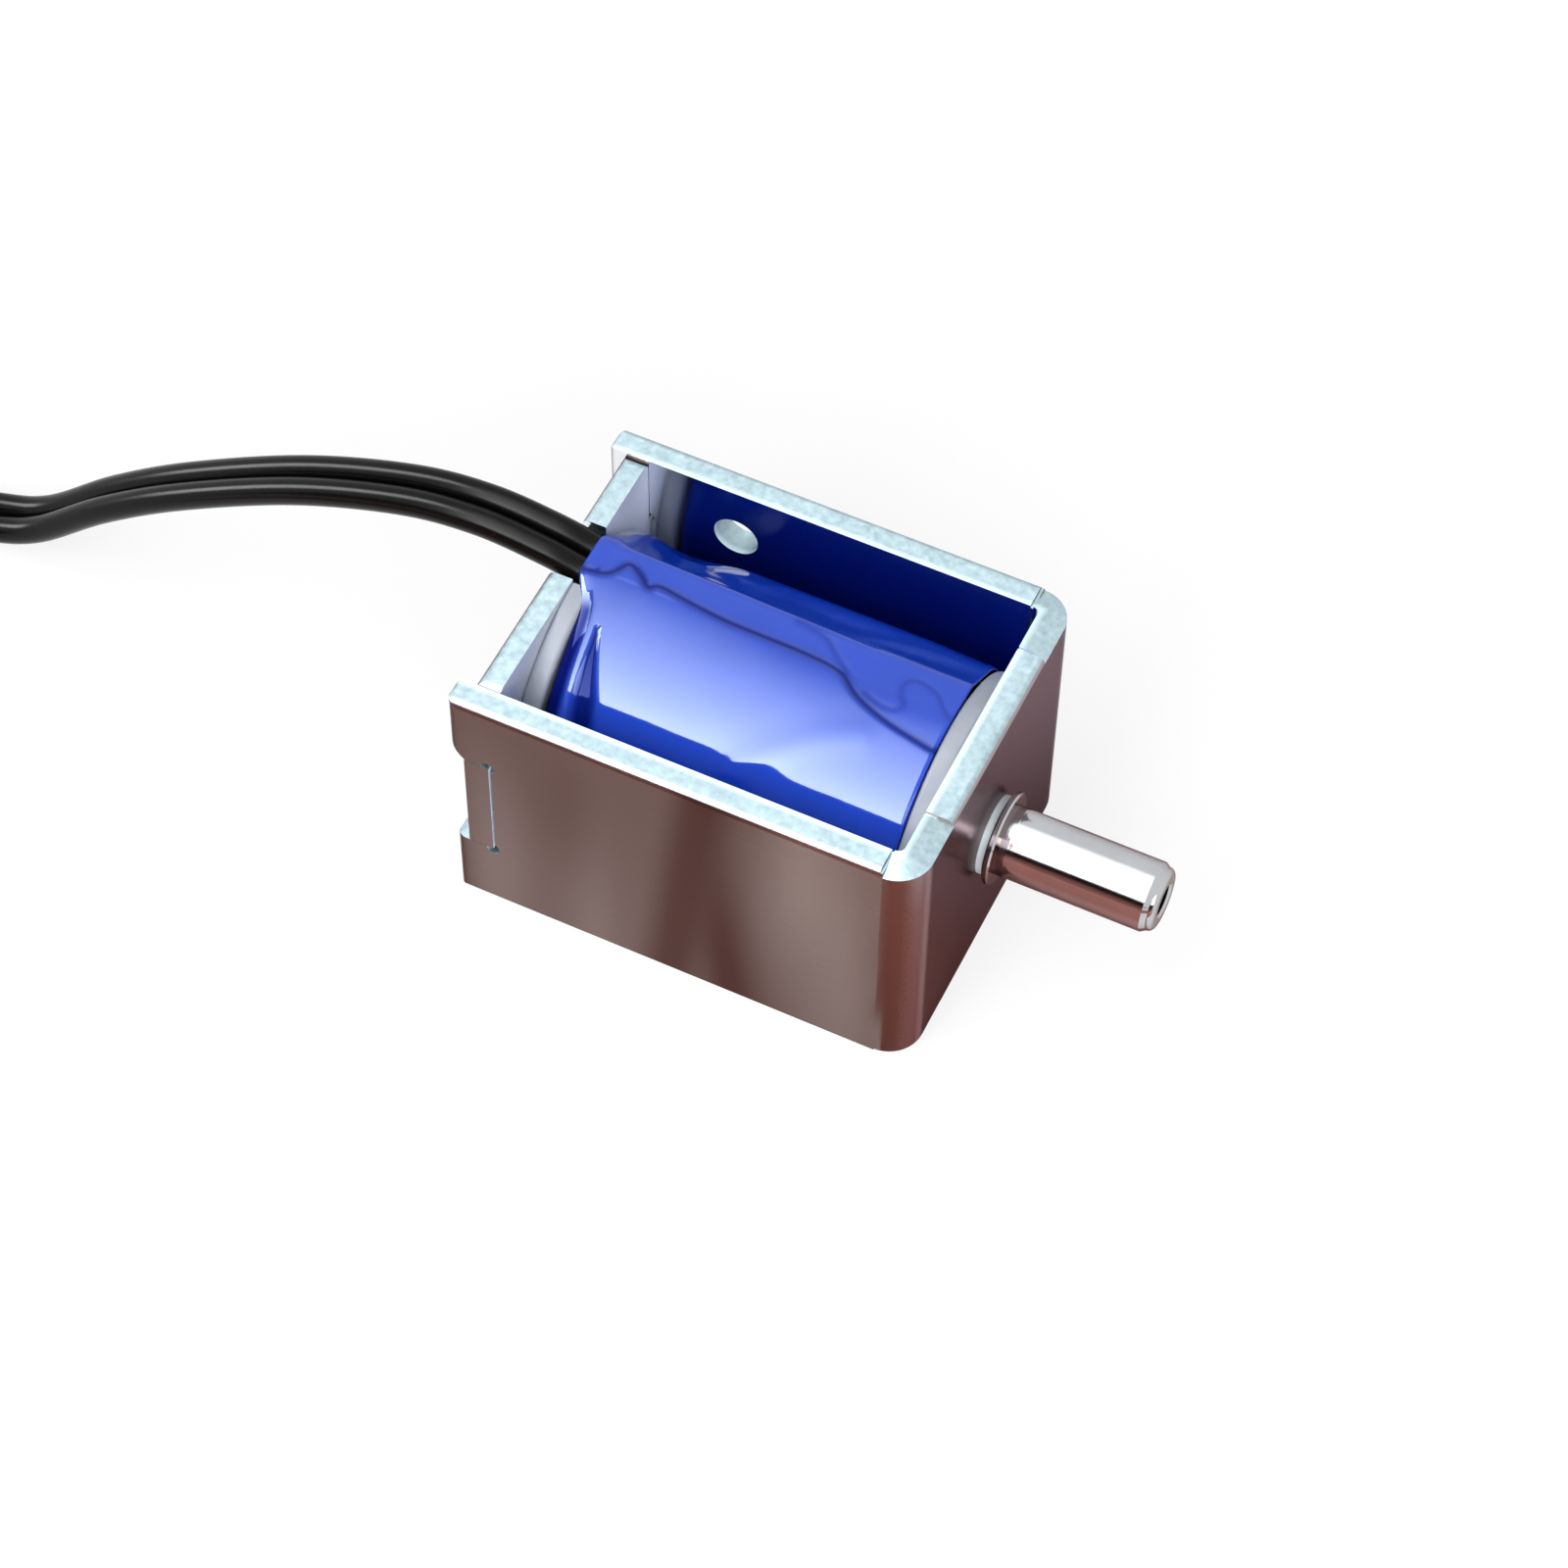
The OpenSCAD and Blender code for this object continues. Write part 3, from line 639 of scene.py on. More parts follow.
def add(tree, kind, inputs=None, **settings):
    """Adds a node with its settings. An input is linked to a socket, or else set to a value."""
    node = tree.nodes.new("ShaderNode" + kind)
    for name, value in settings.items():
        setattr(node, name, value)
    for name, value in (inputs or {}).items():
        if isinstance(value, bpy.types.NodeSocket):
            tree.links.new(value, node.inputs[name])
        else:
            node.inputs[name].default_value = value
    return node


def new_finish(name):
    """A new material, its node tree and its shader."""
    finish = bpy.data.materials.new(name)
    finish.use_nodes = True
    return finish, finish.node_tree, finish.node_tree.nodes["Principled BSDF"]


def per_mm(size):
    """A pattern's scale from its size in millimetres."""
    return 1 / (size * MM)


print("mid grey is", round(linear("#808080")[0], 3), "in linear light")

# %% [markdown]
# ### Blue polyester film
# The tape is thin dyed polyester film, calendered smooth, so it is a deep saturated blue under a hard clear
# gloss, slightly uneven from the adhesive under it. Where the film lies double, at the lap and in the
# wrinkles, its colour goes deeper. The same share carries painted shade: the film drawn in over the end of
# the coil, the dip, the dome beside the leads and the line along the lap are painted dark navy, and a dark
# tint on the gloss paints their reflections dim.

# %% Blue polyester film, calendered
ADHESIVE_PATCH = 2.2
PUCKER = 0.9
film_finish, tree, shader = new_finish("blue_polyester_film")
place = add(tree, "TexCoord").outputs["Object"]
adhesive = add(tree, "TexNoise", {"Vector": place, "Scale": per_mm(ADHESIVE_PATCH), "Detail": 3})
dye = add(tree, "Mix", {0: adhesive.outputs["Fac"], 6: linear("#0b36ae"), 7: linear("#103fc4")}, **RGBA)
lap_and_shade = add(tree, "Attribute", attribute_name="doubled_and_shaded")
# Painted shade: where the share is high, the film's colour goes to dark navy.
folded_and_shaded = add(tree, "Mix", {0: lap_and_shade.outputs["Fac"], 6: dye.outputs[2], 7: linear("#030e5c")}, **RGBA)
gloss = add(tree, "MapRange", {"Value": adhesive.outputs["Fac"], "To Min": 0.05, "To Max": 0.09})
# Painted shade: there a dark tint on the gloss paints the film's reflections dim.
gloss_tint_and_shade = add(tree, "Mix", {0: lap_and_shade.outputs["Fac"], 6: linear("#e8faff"), 7: linear("#26388a")}, **RGBA)
pucker = add(tree, "TexNoise", {"Vector": place, "Scale": per_mm(PUCKER), "Detail": 2})
bump = add(tree, "Bump", {"Height": pucker.outputs["Fac"], "Strength": 0.1, "Distance": 0.02 * MM})
tree.links.new(folded_and_shaded.outputs[2], shader.inputs["Base Color"])
tree.links.new(gloss.outputs[0], shader.inputs["Roughness"])
tree.links.new(gloss_tint_and_shade.outputs[2], shader.inputs["Specular Tint"])
tree.links.new(bump.outputs[0], shader.inputs["Normal"])
shader.inputs["IOR"].default_value = 1.7
film.data.materials.append(film_finish)
print("finished", film_finish.name)

# %% [markdown]
# ### Zinc-plated steel strip
# The frame and the rear plate are cold-rolled steel, blanked and bent, then zinc plated and passivated.
# Outside, the rolled faces are satin, with a fine grain along the strip and soft clouds. Their warm, dark
# grey tone is painted reflection, standing in for brown surroundings that they would mirror, and one darker
# upright band is a painted reflection too. The front plate was burnished by the bending tool, and a painted
# highlight lies as a bright line where each bend runs out into it. Inside, the walls have their mill gloss
# and mirror the tape. Their colour is darker beside the coil, which is painted shade, and bright in the
# corner at the rear plate. The inner faces of the plates are a pale, nearly matt copy of the zinc, painted
# light so that they read as lit. The sheared edges were torn by the punch: there the plating lies on a
# rougher ground, pale, with a painted bluish cast of the light from above, and with a painted highlight
# along the burr at the inner edge.
#
# Which is which follows from the way a face looks: a wall's faces look along Y and a plate's along X, and
# what looks elsewhere is an edge. The faces of the coil side look towards the coil. Each answer is a share
# from 0 to 1, which blends the finishes where a face turns.

# %% What each face of the strip is
frame_low, frame_high = in_mm(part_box("frame"))
COIL_MIDDLE = tuple(mm(((winding_low[0] + winding_high[0]) / 2, 0, AXIS_Z)))
PLATE_BLEND = 0.3
COIL_SIDE_BLEND = 1


def strip_faces(tree, place, facing, plate_from):
    """Shares of what a face is. From the station plate_from on, faces that look along X are rolled ones."""
    at = add(tree, "SeparateXYZ", {0: place})
    looks = add(tree, "SeparateXYZ", {0: facing})
    plate = add(tree, "MapRange", {
        "Value": at.outputs["X"], "From Min": (plate_from - PLATE_BLEND) * MM, "From Max": plate_from * MM})
    sideways = add(tree, "Math", {0: looks.outputs["Y"], 1: looks.outputs["Y"]}, operation="MULTIPLY")
    endways = add(tree, "Math", {0: looks.outputs["X"], 1: looks.outputs["X"]}, operation="MULTIPLY")
    rolled = add(tree, "Math", {0: endways.outputs[0], 1: plate.outputs[0], 2: sideways.outputs[0]},
                 operation="MULTIPLY_ADD")
    sheared = add(tree, "MapRange", {
        "Value": rolled.outputs[0], "From Min": 0.35, "From Max": 0.7, "To Min": 1, "To Max": 0})
    from_middle = add(tree, "VectorMath", {0: place, 1: COIL_MIDDLE}, operation="SUBTRACT")
    outward = add(tree, "VectorMath", {0: from_middle.outputs[0], 1: facing}, operation="DOT_PRODUCT")
    outer = add(tree, "MapRange", {
        "Value": outward.outputs["Value"],
        "From Min": -COIL_SIDE_BLEND * MM, "From Max": COIL_SIDE_BLEND * MM})
    front = add(tree, "MapRange", {"Value": looks.outputs["X"], "From Min": 0.55, "From Max": 0.95})
    on_plate = add(tree, "MapRange", {"Value": endways.outputs[0], "From Min": 0.3, "From Max": 0.7})
    # Painted highlight: a bright line where each bend runs out into the front plate.
    bend_end = add(tree, "MapRange", {"Value": looks.outputs["X"], "From Min": 0.93, "From Max": 0.985})
    on_bend = add(tree, "MapRange", {"Value": sideways.outputs[0], "From Min": 0.001, "From Max": 0.02})
    painted_bend_highlight = add(tree, "Math", {0: bend_end.outputs[0], 1: on_bend.outputs[0]}, operation="MULTIPLY")
    shares = {"sheared": sheared, "outer": outer, "front": front, "on_plate": on_plate, "painted_bend_highlight": painted_bend_highlight}
    return {name: node.outputs[0] for name, node in shares.items()}


print("outwards is away from", np.round(np.array(COIL_MIDDLE) / MM, 2), "mm")

# %% Places on the strip
STRIP_T = 1.2
INNER_HALF = frame_high[1] - STRIP_T
COIL_FRONT = frame_high[0] - STRIP_T
COIL_REAR = winding_low[0]
BURR_HIGHLIGHT_FULL, BURR_HIGHLIGHT_GONE = 0.08, 0.3
COIL_SHADE_BLEND = 0.9


def strip_places(tree, place, burr_highlight_share):
    """Shares by place: the painted highlight on the burr at the inner edge, and the painted shade beside the
    coil.
    """
    at = add(tree, "SeparateXYZ", {0: place})
    wide = add(tree, "Math", {0: at.outputs["Y"]}, operation="ABSOLUTE")
    from_wall = add(tree, "Math", {0: wide.outputs[0], 1: INNER_HALF * MM}, operation="SUBTRACT")
    from_plate = add(tree, "Math", {0: at.outputs["X"], 1: COIL_FRONT * MM}, operation="SUBTRACT")
    from_inside = add(tree, "Math", {0: from_wall.outputs[0], 1: from_plate.outputs[0]},
                      operation="MAXIMUM")
    burr_highlight = add(tree, "MapRange", {
        "Value": from_inside.outputs[0], "From Min": BURR_HIGHLIGHT_FULL * MM, "From Max": BURR_HIGHLIGHT_GONE * MM,
        "To Min": burr_highlight_share, "To Max": 0})
    coil_side_shade = add(tree, "MapRange", {
        "Value": at.outputs["X"], "From Min": COIL_REAR * MM, "From Max": (COIL_REAR + COIL_SHADE_BLEND) * MM})
    return {"burr_highlight": burr_highlight.outputs[0], "coil_side_shade": coil_side_shade.outputs[0]}


print("the walls are", round(2 * INNER_HALF, 1), "mm apart inside")

# %% [markdown]
# Three patterns lie on it: the rolling grain, which is long and fine and drawn coarser than it is so that
# it shows, the upright clouds with a darker band of painted reflection between them, and the torn ground of
# the edges.

# %% Patterns of the strip
GRAIN_SIZE = (3, 3, 0.09)
CLOUD_SIZE = (6, 6, 30)
TEAR_SIZE = 0.3
PAINTED_BAND_X = -4.2
PAINTED_BAND_LEAN = 0.12
PAINTED_BAND_CORE, PAINTED_BAND_EDGE = 0.2, 2


def strip_patterns(tree, place):
    """Values from 0 to 1 of the grain, the clouds with the painted band of reflection, and the torn ground.
    """
    along_strip = add(tree, "Mapping", {"Vector": place, "Scale": [per_mm(size) for size in GRAIN_SIZE]})
    grain = add(tree, "TexNoise", {"Vector": along_strip.outputs[0], "Scale": 1, "Detail": 3})
    upright = add(tree, "Mapping", {"Vector": place, "Scale": [per_mm(size) for size in CLOUD_SIZE]})
    cloud = add(tree, "TexNoise", {"Vector": upright.outputs[0], "Scale": 1, "Detail": 1})
    clear = add(tree, "MapRange", {"Value": cloud.outputs["Fac"], "From Min": 0.3, "From Max": 0.7})
    # Painted reflection: an upright darker band, leaning a little, across the outer faces.
    leaning = add(tree, "VectorMath", {0: place, 1: (1, 0, -PAINTED_BAND_LEAN)}, operation="DOT_PRODUCT")
    from_painted_band = add(tree, "Math", {0: leaning.outputs["Value"], 1: PAINTED_BAND_X * MM}, operation="SUBTRACT")
    beside_painted_band = add(tree, "Math", {0: from_painted_band.outputs[0]}, operation="ABSOLUTE")
    past_painted_band = add(tree, "MapRange", {
        "Value": beside_painted_band.outputs[0], "From Min": PAINTED_BAND_CORE * MM, "From Max": PAINTED_BAND_EDGE * MM, "To Min": 0.1},
        interpolation_type="SMOOTHSTEP")
    clouds_and_painted_band = add(tree, "Math", {0: clear.outputs[0], 1: past_painted_band.outputs[0]}, operation="MULTIPLY")
    torn_up = add(tree, "TexNoise", {
        "Vector": place, "Scale": per_mm(TEAR_SIZE), "Detail": 3, "Roughness": 0.6})
    tear = add(tree, "MapRange", {"Value": torn_up.outputs["Fac"], "From Min": 0.15, "From Max": 0.85})
    return {"grain": grain.outputs["Fac"], "clouds_and_painted_band": clouds_and_painted_band.outputs[0], "tear": tear.outputs[0]}


print("the run is", PAINTED_BAND_EDGE * 2, "mm wide at x", PAINTED_BAND_X)

# %% Colour and roughness of the strip
def strip_colour(tree, faces, places, patterns):
    """The strip's colour."""
    # Painted reflection: the warm, dark satin colours stand in for brown surroundings mirrored by the outer
    # faces.
    satin = add(tree, "Mix", {0: patterns["clouds_and_painted_band"], 6: linear("#5c4441"), 7: linear("#a2938e")}, **RGBA)
    burnished = add(tree, "Mix", {0: faces["front"], 6: satin.outputs[2], 7: linear("#b0a6aa")}, **RGBA)
    # Painted highlight: the bright line at the ends of the bends.
    outside = add(tree, "Mix", {0: faces["painted_bend_highlight"], 6: burnished.outputs[2], 7: linear("#dfe6ee")}, **RGBA)
    # Painted shade: the inner walls are darker beside the coil.
    mill_and_coil_shade = add(tree, "Mix", {0: places["coil_side_shade"], 6: linear("#f0f3f7"), 7: linear("#8490b0")}, **RGBA)
    # Painted light: the plates' inner faces are a paler copy of the zinc, so that they read as lit.
    inside = add(tree, "Mix", {0: faces["on_plate"], 6: mill_and_coil_shade.outputs[2], 7: linear("#e2e9f5")}, **RGBA)
    rolled = add(tree, "Mix", {0: faces["outer"], 6: inside.outputs[2], 7: outside.outputs[2]}, **RGBA)
    # Painted light: the bluish cast of the torn colours stands in for cool light from above.
    torn = add(tree, "Mix", {0: patterns["tear"], 6: linear("#96aeb7"), 7: linear("#c2d7de")}, **RGBA)
    # Painted highlight: a bright line on the burr along the inner edge.
    edges = add(tree, "Mix", {0: places["burr_highlight"], 6: torn.outputs[2], 7: linear("#d9f0f4")}, **RGBA)
    skin = add(tree, "Mix", {0: faces["sheared"], 6: rolled.outputs[2], 7: edges.outputs[2]}, **RGBA)
    return skin.outputs[2]


def strip_roughness(tree, faces, patterns):
    """The strip's roughness: satin or burnished outside, glossy or matt inside, torn on the edges."""
    satin = add(tree, "MapRange", {"Value": patterns["grain"], "To Min": 0.24, "To Max": 0.36})
    outside = add(tree, "Mix", {0: faces["front"], 2: satin.outputs[0], 3: 0.22})
    inside = add(tree, "Mix", {0: faces["on_plate"], 2: 0.13, 3: 0.6})
    rolled = add(tree, "Mix", {0: faces["outer"], 2: inside.outputs[0], 3: outside.outputs[0]})
    torn = add(tree, "MapRange", {"Value": patterns["tear"], "To Min": 0.32, "To Max": 0.5})
    skin = add(tree, "Mix", {0: faces["sheared"], 2: rolled.outputs[0], 3: torn.outputs[0]})
    return skin.outputs[0]


print("the strip's colour is mixed in 9 steps and its roughness in 6")

# %% [markdown]
# The frame's front plate starts at the bends. The rear plate is a plate all along and has no burr highlight.

# %% Zinc-plated steel strip, rolled and sheared
BEND_SETBACK = 0.3
BEND_X = COIL_FRONT - BEND_SETBACK


def strip_finish(name, plate_from, burr_highlight_share):
    """The strip's whole finish."""
    finish, tree, shader = new_finish(name)
    coords = add(tree, "TexCoord")
    place = coords.outputs["Object"]
    faces = strip_faces(tree, place, coords.outputs["Normal"], plate_from)
    places = strip_places(tree, place, burr_highlight_share)
    patterns = strip_patterns(tree, place)
    relief = add(tree, "Mix", {0: faces["sheared"], 2: patterns["grain"], 3: patterns["tear"]})
    bump = add(tree, "Bump", {"Height": relief.outputs[0], "Strength": 0.15, "Distance": 0.015 * MM})
    # The plates' inner faces are also made nearly matt, as part of that painted light.
    in_coil = add(tree, "Math", {0: 1, 1: faces["outer"]}, operation="SUBTRACT")
    matt = add(tree, "Math", {0: in_coil.outputs[0], 1: faces["on_plate"]}, operation="MULTIPLY")
    metal = add(tree, "MapRange", {"Value": matt.outputs[0], "To Min": 1, "To Max": 0.15})
    tree.links.new(strip_colour(tree, faces, places, patterns), shader.inputs["Base Color"])
    tree.links.new(strip_roughness(tree, faces, patterns), shader.inputs["Roughness"])
    tree.links.new(bump.outputs[0], shader.inputs["Normal"])
    tree.links.new(metal.outputs[0], shader.inputs["Metallic"])
    shader.inputs["Specular Tint"].default_value = linear("#a89a9a")
    return finish


zinc_strip = strip_finish("zinc_plated_steel_strip", BEND_X, 1)
zinc_plate = strip_finish("zinc_plated_steel_plate", frame_low[0], 0)
print("finished", zinc_strip.name, "and", zinc_plate.name)

# %% [markdown]
# ### Turned metals
# The nozzle is turned from brass and nickel plated: bright and smooth, with fine rings left by the tool.
# The core, whose staked head shows behind the nozzle, is turned steel under pale, dull zinc, which scatters
# most of its light. The plunger is plain turned steel, and the guide sleeve is drawn brass. They differ in
# colour, gloss, the spacing of their rings and how bare the metal is, so one section makes them all.

# %% Turned and drawn metals
RING_GIRTH = 20
STAIN_SIZE = 1.5


def turned_finish(name, colours, ring_mm, rough, limb="#ffffff", bare=1):
    """A metal with rings round X. The limb is its tint at grazing angles, bare its share of bare metal."""
    finish, tree, shader = new_finish(name)
    place = add(tree, "TexCoord").outputs["Object"]
    ring_size = (ring_mm, RING_GIRTH, RING_GIRTH)
    lathe = add(tree, "Mapping", {"Vector": place, "Scale": [per_mm(size) for size in ring_size]})
    rings = add(tree, "TexNoise", {"Vector": lathe.outputs[0], "Scale": 1, "Detail": 2})
    stain = add(tree, "TexNoise", {"Vector": place, "Scale": per_mm(STAIN_SIZE), "Detail": 3})
    tone = add(tree, "Mix", {0: stain.outputs["Fac"], 6: linear(colours[0]), 7: linear(colours[1])}, **RGBA)
    polish = add(tree, "MapRange", {"Value": rings.outputs["Fac"], "To Min": rough[0], "To Max": rough[1]})
    bump = add(tree, "Bump", {"Height": rings.outputs["Fac"], "Strength": 0.15, "Distance": 0.01 * MM})
    tree.links.new(tone.outputs[2], shader.inputs["Base Color"])
    tree.links.new(polish.outputs[0], shader.inputs["Roughness"])
    tree.links.new(bump.outputs[0], shader.inputs["Normal"])
    shader.inputs["Metallic"].default_value = bare
    shader.inputs["Specular Tint"].default_value = linear(limb)
    return finish


nickel = turned_finish(
    "nickel_plated_brass_turned", ("#b2b3b6", "#cacdd1"), ring_mm=0.12, rough=(0.05, 0.1), limb="#b8a8a2")
core_steel = turned_finish(
    "zinc_plated_steel_turned", ("#d4ecf0", "#f4fcfd"), ring_mm=0.15, rough=(0.36, 0.48), bare=0.2)
plunger_steel = turned_finish(
    "bright_steel_turned", ("#a9a9ab", "#c6c6c8"), ring_mm=0.1, rough=(0.22, 0.35))
brass = turned_finish("drawn_brass", ("#b98f3c", "#d8b565"), ring_mm=0.3, rough=(0.2, 0.32))
spring_steel = turned_finish("spring_steel_wire", ("#b9bcc2", "#d9dce1"), ring_mm=0.2, rough=(0.2, 0.3))
tinned = turned_finish("tinned_copper_strands", ("#b3b5b8", "#d3d5d7"), ring_mm=0.25, rough=(0.25, 0.4))
winding_copper = turned_finish(
    "enamelled_copper_winding", ("#8c3f16", "#c06a2e"), ring_mm=0.2, rough=(0.25, 0.35))
print("finished 7 turned or drawn metals")

# %% [markdown]
# ### Plastics, rubber and wrap
# The leads have soft black PVC, extruded smooth, with a broad dull gloss. The bobbin is pale grey moulded
# nylon. The seal and the bumper are black rubber, and the wrap under the lead joints is amber film.

# %% Moulded and extruded plastics
PATCH_GRAINS = 6


def moulded_finish(name, colours, grain_mm, rough, ior, relief_mm):
    """A plastic or rubber: two colours, size of the grain, roughness, IOR and relief."""
    finish, tree, shader = new_finish(name)
    place = add(tree, "TexCoord").outputs["Object"]
    grain = add(tree, "TexNoise", {"Vector": place, "Scale": per_mm(grain_mm), "Detail": 4})
    patch = add(tree, "TexNoise", {"Vector": place, "Scale": per_mm(PATCH_GRAINS * grain_mm), "Detail": 2})
    tone = add(tree, "Mix", {0: patch.outputs["Fac"], 6: linear(colours[0]), 7: linear(colours[1])}, **RGBA)
    gloss = add(tree, "MapRange", {"Value": grain.outputs["Fac"], "To Min": rough[0], "To Max": rough[1]})
    bump = add(tree, "Bump", {"Height": grain.outputs["Fac"], "Strength": 0.2, "Distance": relief_mm * MM})
    tree.links.new(tone.outputs[2], shader.inputs["Base Color"])
    tree.links.new(gloss.outputs[0], shader.inputs["Roughness"])
    tree.links.new(bump.outputs[0], shader.inputs["Normal"])
    shader.inputs["IOR"].default_value = ior
    return finish


black_pvc = moulded_finish(
    "black_pvc_extruded", ("#050404", "#0b0909"), grain_mm=0.5, rough=(0.17, 0.27),
    ior=1.25, relief_mm=0.006)
bobbin_nylon = moulded_finish(
    "grey_nylon_moulded", ("#8f959f", "#a5abb5"), grain_mm=0.2, rough=(0.4, 0.55),
    ior=1.4, relief_mm=0.015)
rubber = moulded_finish(
    "black_nitrile_rubber", ("#141415", "#232324"), grain_mm=0.15, rough=(0.55, 0.75),
    ior=1.52, relief_mm=0.02)
amber_wrap = moulded_finish(
    "amber_polyimide_film", ("#a9701e", "#d79a3a"), grain_mm=0.5, rough=(0.2, 0.35),
    ior=1.6, relief_mm=0.01)
print("finished 4 plastics")

# %% [markdown]
# Each CAD piece then takes its finish in the slot that it already has, and the new pieces take theirs.

# %% Put the finishes on
FINISHES = {
    zinc_strip: ["frame"],
    zinc_plate: ["rear_plate"],
    nickel: ["nozzle"],
    core_steel: ["fixed_core"],
    plunger_steel: ["plunger"],
    brass: ["guide_sleeve"],
    tinned: ["solder_joints"],
    winding_copper: ["winding", "winding_tails"],
    bobbin_nylon: ["bobbin"],
    rubber: ["plunger_seal", "rear_bumper"],
    amber_wrap: ["inner_wrap"],
}
for finish, names in FINISHES.items():
    for name in names:
        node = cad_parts[name]
        for material_slot in node.material_slots:
            material_slot.material = finish
for lead in leads.values():
    lead.data.materials.append(black_pvc)
for tip in tips.values():
    tip.data.materials.clear()
    tip.data.materials.append(tinned)
spring.data.materials.append(spring_steel)
print("finished", sum(map(len, FINISHES.values())), "CAD pieces")

# %% [markdown]
# ## Floor and light
# The valve lies on a white sweep. A part of its white is its own colour, and the rest is given off where the
# camera or a reflection looks, so the soft shadow stays and the metal shows white as well. The white room
# fills in. The stage is much larger than the valve, so its sizes are in metres.

# %% Floor
FLOOR_SIZE = 4
GIVEN_OFF = 0.8
WHITE = (1, 1, 1, 1)


def looked_at(tree):
    """1 where the camera, a reflection or a view through glass looks, and 0 for light that bounces."""
    ray = add(tree, "LightPath")
    seen = add(tree, "Math", {0: ray.outputs["Is Camera Ray"], 1: ray.outputs["Is Glossy Ray"]},
               operation="MAXIMUM")
    shown = add(tree, "Math", {0: seen.outputs[0], 1: ray.outputs["Is Transmission Ray"]},
                operation="MAXIMUM")
    return shown.outputs[0]


select_only()
bpy.ops.mesh.primitive_plane_add(size=FLOOR_SIZE)
floor = bpy.context.object
floor.name = "white_sweep"
floor_finish, tree, paper = new_finish("white_paper_sweep")
paper.inputs["Base Color"].default_value = linear("#f7f7f7")
paper.inputs["Roughness"].default_value = 0.9
paper.inputs["Specular IOR Level"].default_value = 0
share = add(tree, "Math", {0: looked_at(tree), 1: GIVEN_OFF}, operation="MULTIPLY")
white = add(tree, "Emission", {"Color": WHITE, "Strength": 1})
sweep = add(tree, "MixShader", {0: share.outputs[0], 1: paper.outputs[0], 2: white.outputs[0]})
tree.links.new(sweep.outputs[0], tree.nodes["Material Output"].inputs["Surface"])
floor.data.materials.append(floor_finish)
print("the floor is", FLOOR_SIZE, "m wide")

# %% Room
ROOM_FILL = 0.2
world = bpy.data.worlds.new("white_room")
bpy.context.scene.world = world
world.use_nodes = True
tree = world.node_tree
fill = tree.nodes["Background"]
fill.inputs["Color"].default_value = WHITE
fill.inputs["Strength"].default_value = ROOM_FILL
backdrop = add(tree, "Background", {"Color": WHITE, "Strength": 1})
room = add(tree, "MixShader", {0: looked_at(tree), 1: fill.outputs[0], 2: backdrop.outputs[0]})
tree.links.new(room.outputs[0], tree.nodes["World Output"].inputs["Surface"])
print("the room fills in at", ROOM_FILL)

# %% [markdown]
# One long soft box hangs over the valve, from low on the near side to past overhead. It is brightest at its
# low end, as a window is, and fades out at the other, so the sheet of light on the film goes from white at
# the near wall to blue on top. The box is set by the direction of its middle, seen from the valve: a lean
# towards the rear, and a turn up from the near side. Its long side lies in the plane of that turn. A lamp's
# power is worked out from how bright it looks: at 1 it looks as white as the room.

# %% Soft box
BOX_W, BOX_L = 0.22, 1
BOX_DISTANCE = 0.5
BOX_LEAN = math.radians(14)
BOX_TURN = math.radians(78)
BOX_BRIGHT = 12
BOX_FADE = 1.4


def area_lamp(name, width, length, bright):
    """A rectangular lamp that the camera doesn't see."""
    light = bpy.data.lights.new(name, "AREA")
    light.shape = "RECTANGLE"
    light.size = width
    light.size_y = length
    light.energy = bright * math.pi * width * length
    lamp = in_scene(name, light)
    lamp.visible_camera = False
    return lamp


box_heading = Vector((
    -math.sin(BOX_LEAN),
    -math.cos(BOX_LEAN) * math.cos(BOX_TURN),
    math.cos(BOX_LEAN) * math.sin(BOX_TURN),
))
box_side = Vector((1, 0, 0)) - box_heading.x * box_heading
box_side.normalize()
soft_box = area_lamp("soft_box", BOX_W, BOX_L, 1)
stand(soft_box, BOX_DISTANCE * box_heading, box_side, box_heading.cross(box_side), box_heading)
soft_box.data.use_nodes = True
tree = soft_box.data.node_tree
along = add(tree, "SeparateXYZ", {0: add(tree, "NewGeometry").outputs["Parametric"]})
low_end = add(tree, "Math", {0: 1, 1: along.outputs["Y"]}, operation="SUBTRACT")
fade = add(tree, "Math", {0: low_end.outputs[0], 1: BOX_FADE}, operation="POWER")
glow = add(tree, "Math", {0: fade.outputs[0], 1: BOX_BRIGHT}, operation="MULTIPLY")
tree.links.new(glow.outputs[0], tree.nodes["Emission"].inputs["Strength"])
print("the soft box hangs", round(soft_box.location.z, 2), "m up")

# %% [markdown]
# The front plate keeps the soft box off the head of the core. A smaller lamp at the near front corner
# reaches it, and softens the shadow beside the valve. The leads slope down away from the soft box, and
# black gloss shows only what it mirrors, so a long lamp behind the valve draws a line of light along each
# lead. Only reflections see that one, so it adds no light to the rest.

# %% Front fill and rear lamp
FILL_SIZE = 0.4
FILL_PLACE = Vector((0.3, -0.42, 0.36))
FILL_BRIGHT = 4.5
REAR_W, REAR_L = 0.16, 0.5
REAR_PLACE = Vector((-0.42, -0.06, 0.31))
REAR_BRIGHT = 14
front_fill = area_lamp("front_fill", FILL_SIZE, FILL_SIZE, FILL_BRIGHT)
rear_lamp = area_lamp("rear_lamp", REAR_W, REAR_L, REAR_BRIGHT)
rear_lamp.visible_diffuse = False
for lamp, place in ((front_fill, FILL_PLACE), (rear_lamp, REAR_PLACE)):
    lamp.location = place
    lamp.rotation_euler = place.to_track_quat("Z", "Y").to_euler()
print("the lamps give", [round(lamp.data.energy, 2) for lamp in (soft_box, front_fill, rear_lamp)], "W")

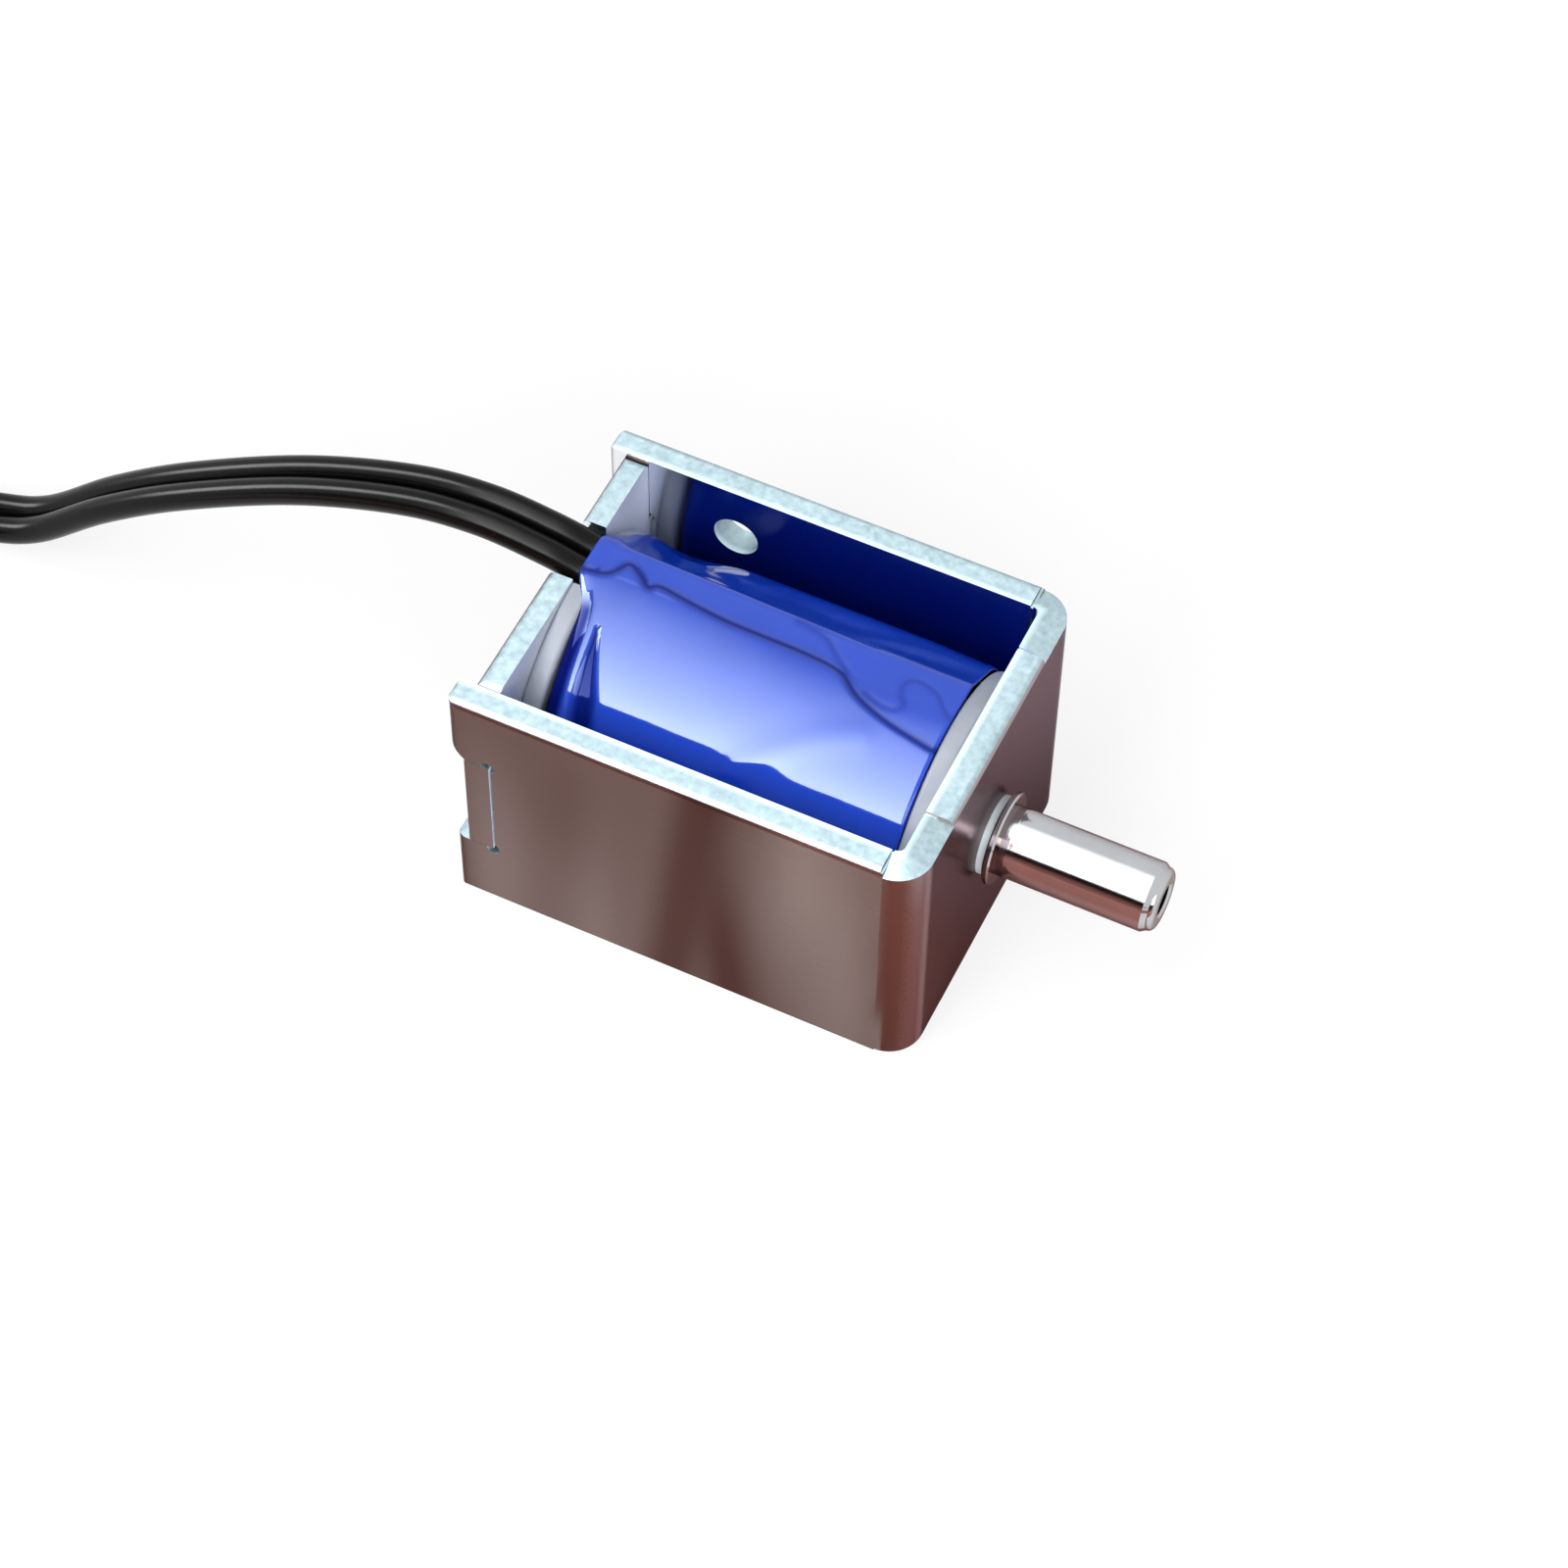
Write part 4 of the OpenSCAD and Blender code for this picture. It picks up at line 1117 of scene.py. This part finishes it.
# %% [markdown]
# A bright round nozzle in a white room would look flat. A brown card that only reflections see stands on
# the near side, dark at its top. A part of it lies on the floor: it is redder on the near side, and grows
# paler towards the far one. The card draws the dark line along the nozzle and the warm side below it, which
# show that it is round, and darkens the front plate and the bend. It is cut back in steps from what the near
# wall mirrors, so the lying part is a few rectangles, each written as two corners in millimetres.

# %% Brown card
CARD_W, CARD_H = 0.5, 0.11
CARD_AWAY = 0.2
CARD_LIFT = 0.3 * MM
LYING = [
    ((-50, -CARD_AWAY / MM), (60, -18)),
    ((1.5, -18), (5.3, -15.5)),
    ((3.1, -15.5), (5.3, -12)),
    ((4.2, -12), (5.3, -9.5)),
    ((5.3, -18), (15, 30)),
]
select_only()
bpy.ops.mesh.primitive_plane_add(size=1)
card = bpy.context.object
card.name = "brown_card"
bpy.ops.object.mode_set(mode="EDIT")
bpy.ops.mesh.select_all(action="SELECT")
bpy.ops.transform.resize(value=(CARD_W, CARD_H, 1))
bpy.ops.transform.rotate(value=math.radians(90), orient_axis="X", center_override=(0, 0, 0))
bpy.ops.transform.translate(value=(0, -CARD_AWAY, CARD_H / 2))
for corners in LYING:
    (x0, y0), (x1, y1) = mm(corners)
    bpy.ops.mesh.primitive_plane_add(size=1)
    bpy.ops.transform.resize(value=(x1 - x0, y1 - y0, 1))
    bpy.ops.transform.translate(value=((x0 + x1) / 2, (y0 + y1) / 2, CARD_LIFT))
bpy.ops.object.mode_set(mode="OBJECT")
card.visible_camera = False
card.visible_diffuse = False
card.visible_shadow = False
print("the card stands", round(CARD_AWAY / MM), "mm away")

# %% Brown felt
DARKENS, PALES, REDDENS = ("Z", 20, 70), ("Y", -2, 11), ("Y", -5, -10)
card_finish, tree, felt = new_finish("brown_felt_card")
spot = add(tree, "SeparateXYZ", {0: add(tree, "TexCoord").outputs["Object"]})
upper, farther, nearer = [
    add(tree, "MapRange", {"Value": spot.outputs[axis], "From Min": start * MM, "From Max": end * MM})
    for axis, start, end in (DARKENS, PALES, REDDENS)
]
paler = add(tree, "Mix", {0: farther.outputs[0], 6: linear("#b58983"), 7: linear("#dccfd9")}, **RGBA)
redder = add(tree, "Mix", {0: nearer.outputs[0], 6: paler.outputs[2], 7: linear("#a97168")}, **RGBA)
dyed = add(tree, "Mix", {0: upper.outputs[0], 6: redder.outputs[2], 7: linear("#2b1a16")}, **RGBA)
tree.links.new(dyed.outputs[2], felt.inputs["Base Color"])
felt.inputs["Roughness"].default_value = 1
felt.inputs["Specular IOR Level"].default_value = 0
card.data.materials.append(card_finish)
print("finished", card_finish.name)

# %% [markdown]
# ## Finish
# Colours are shown as they are written.

# %% Finish
bpy.context.scene.view_settings.view_transform = "Standard"
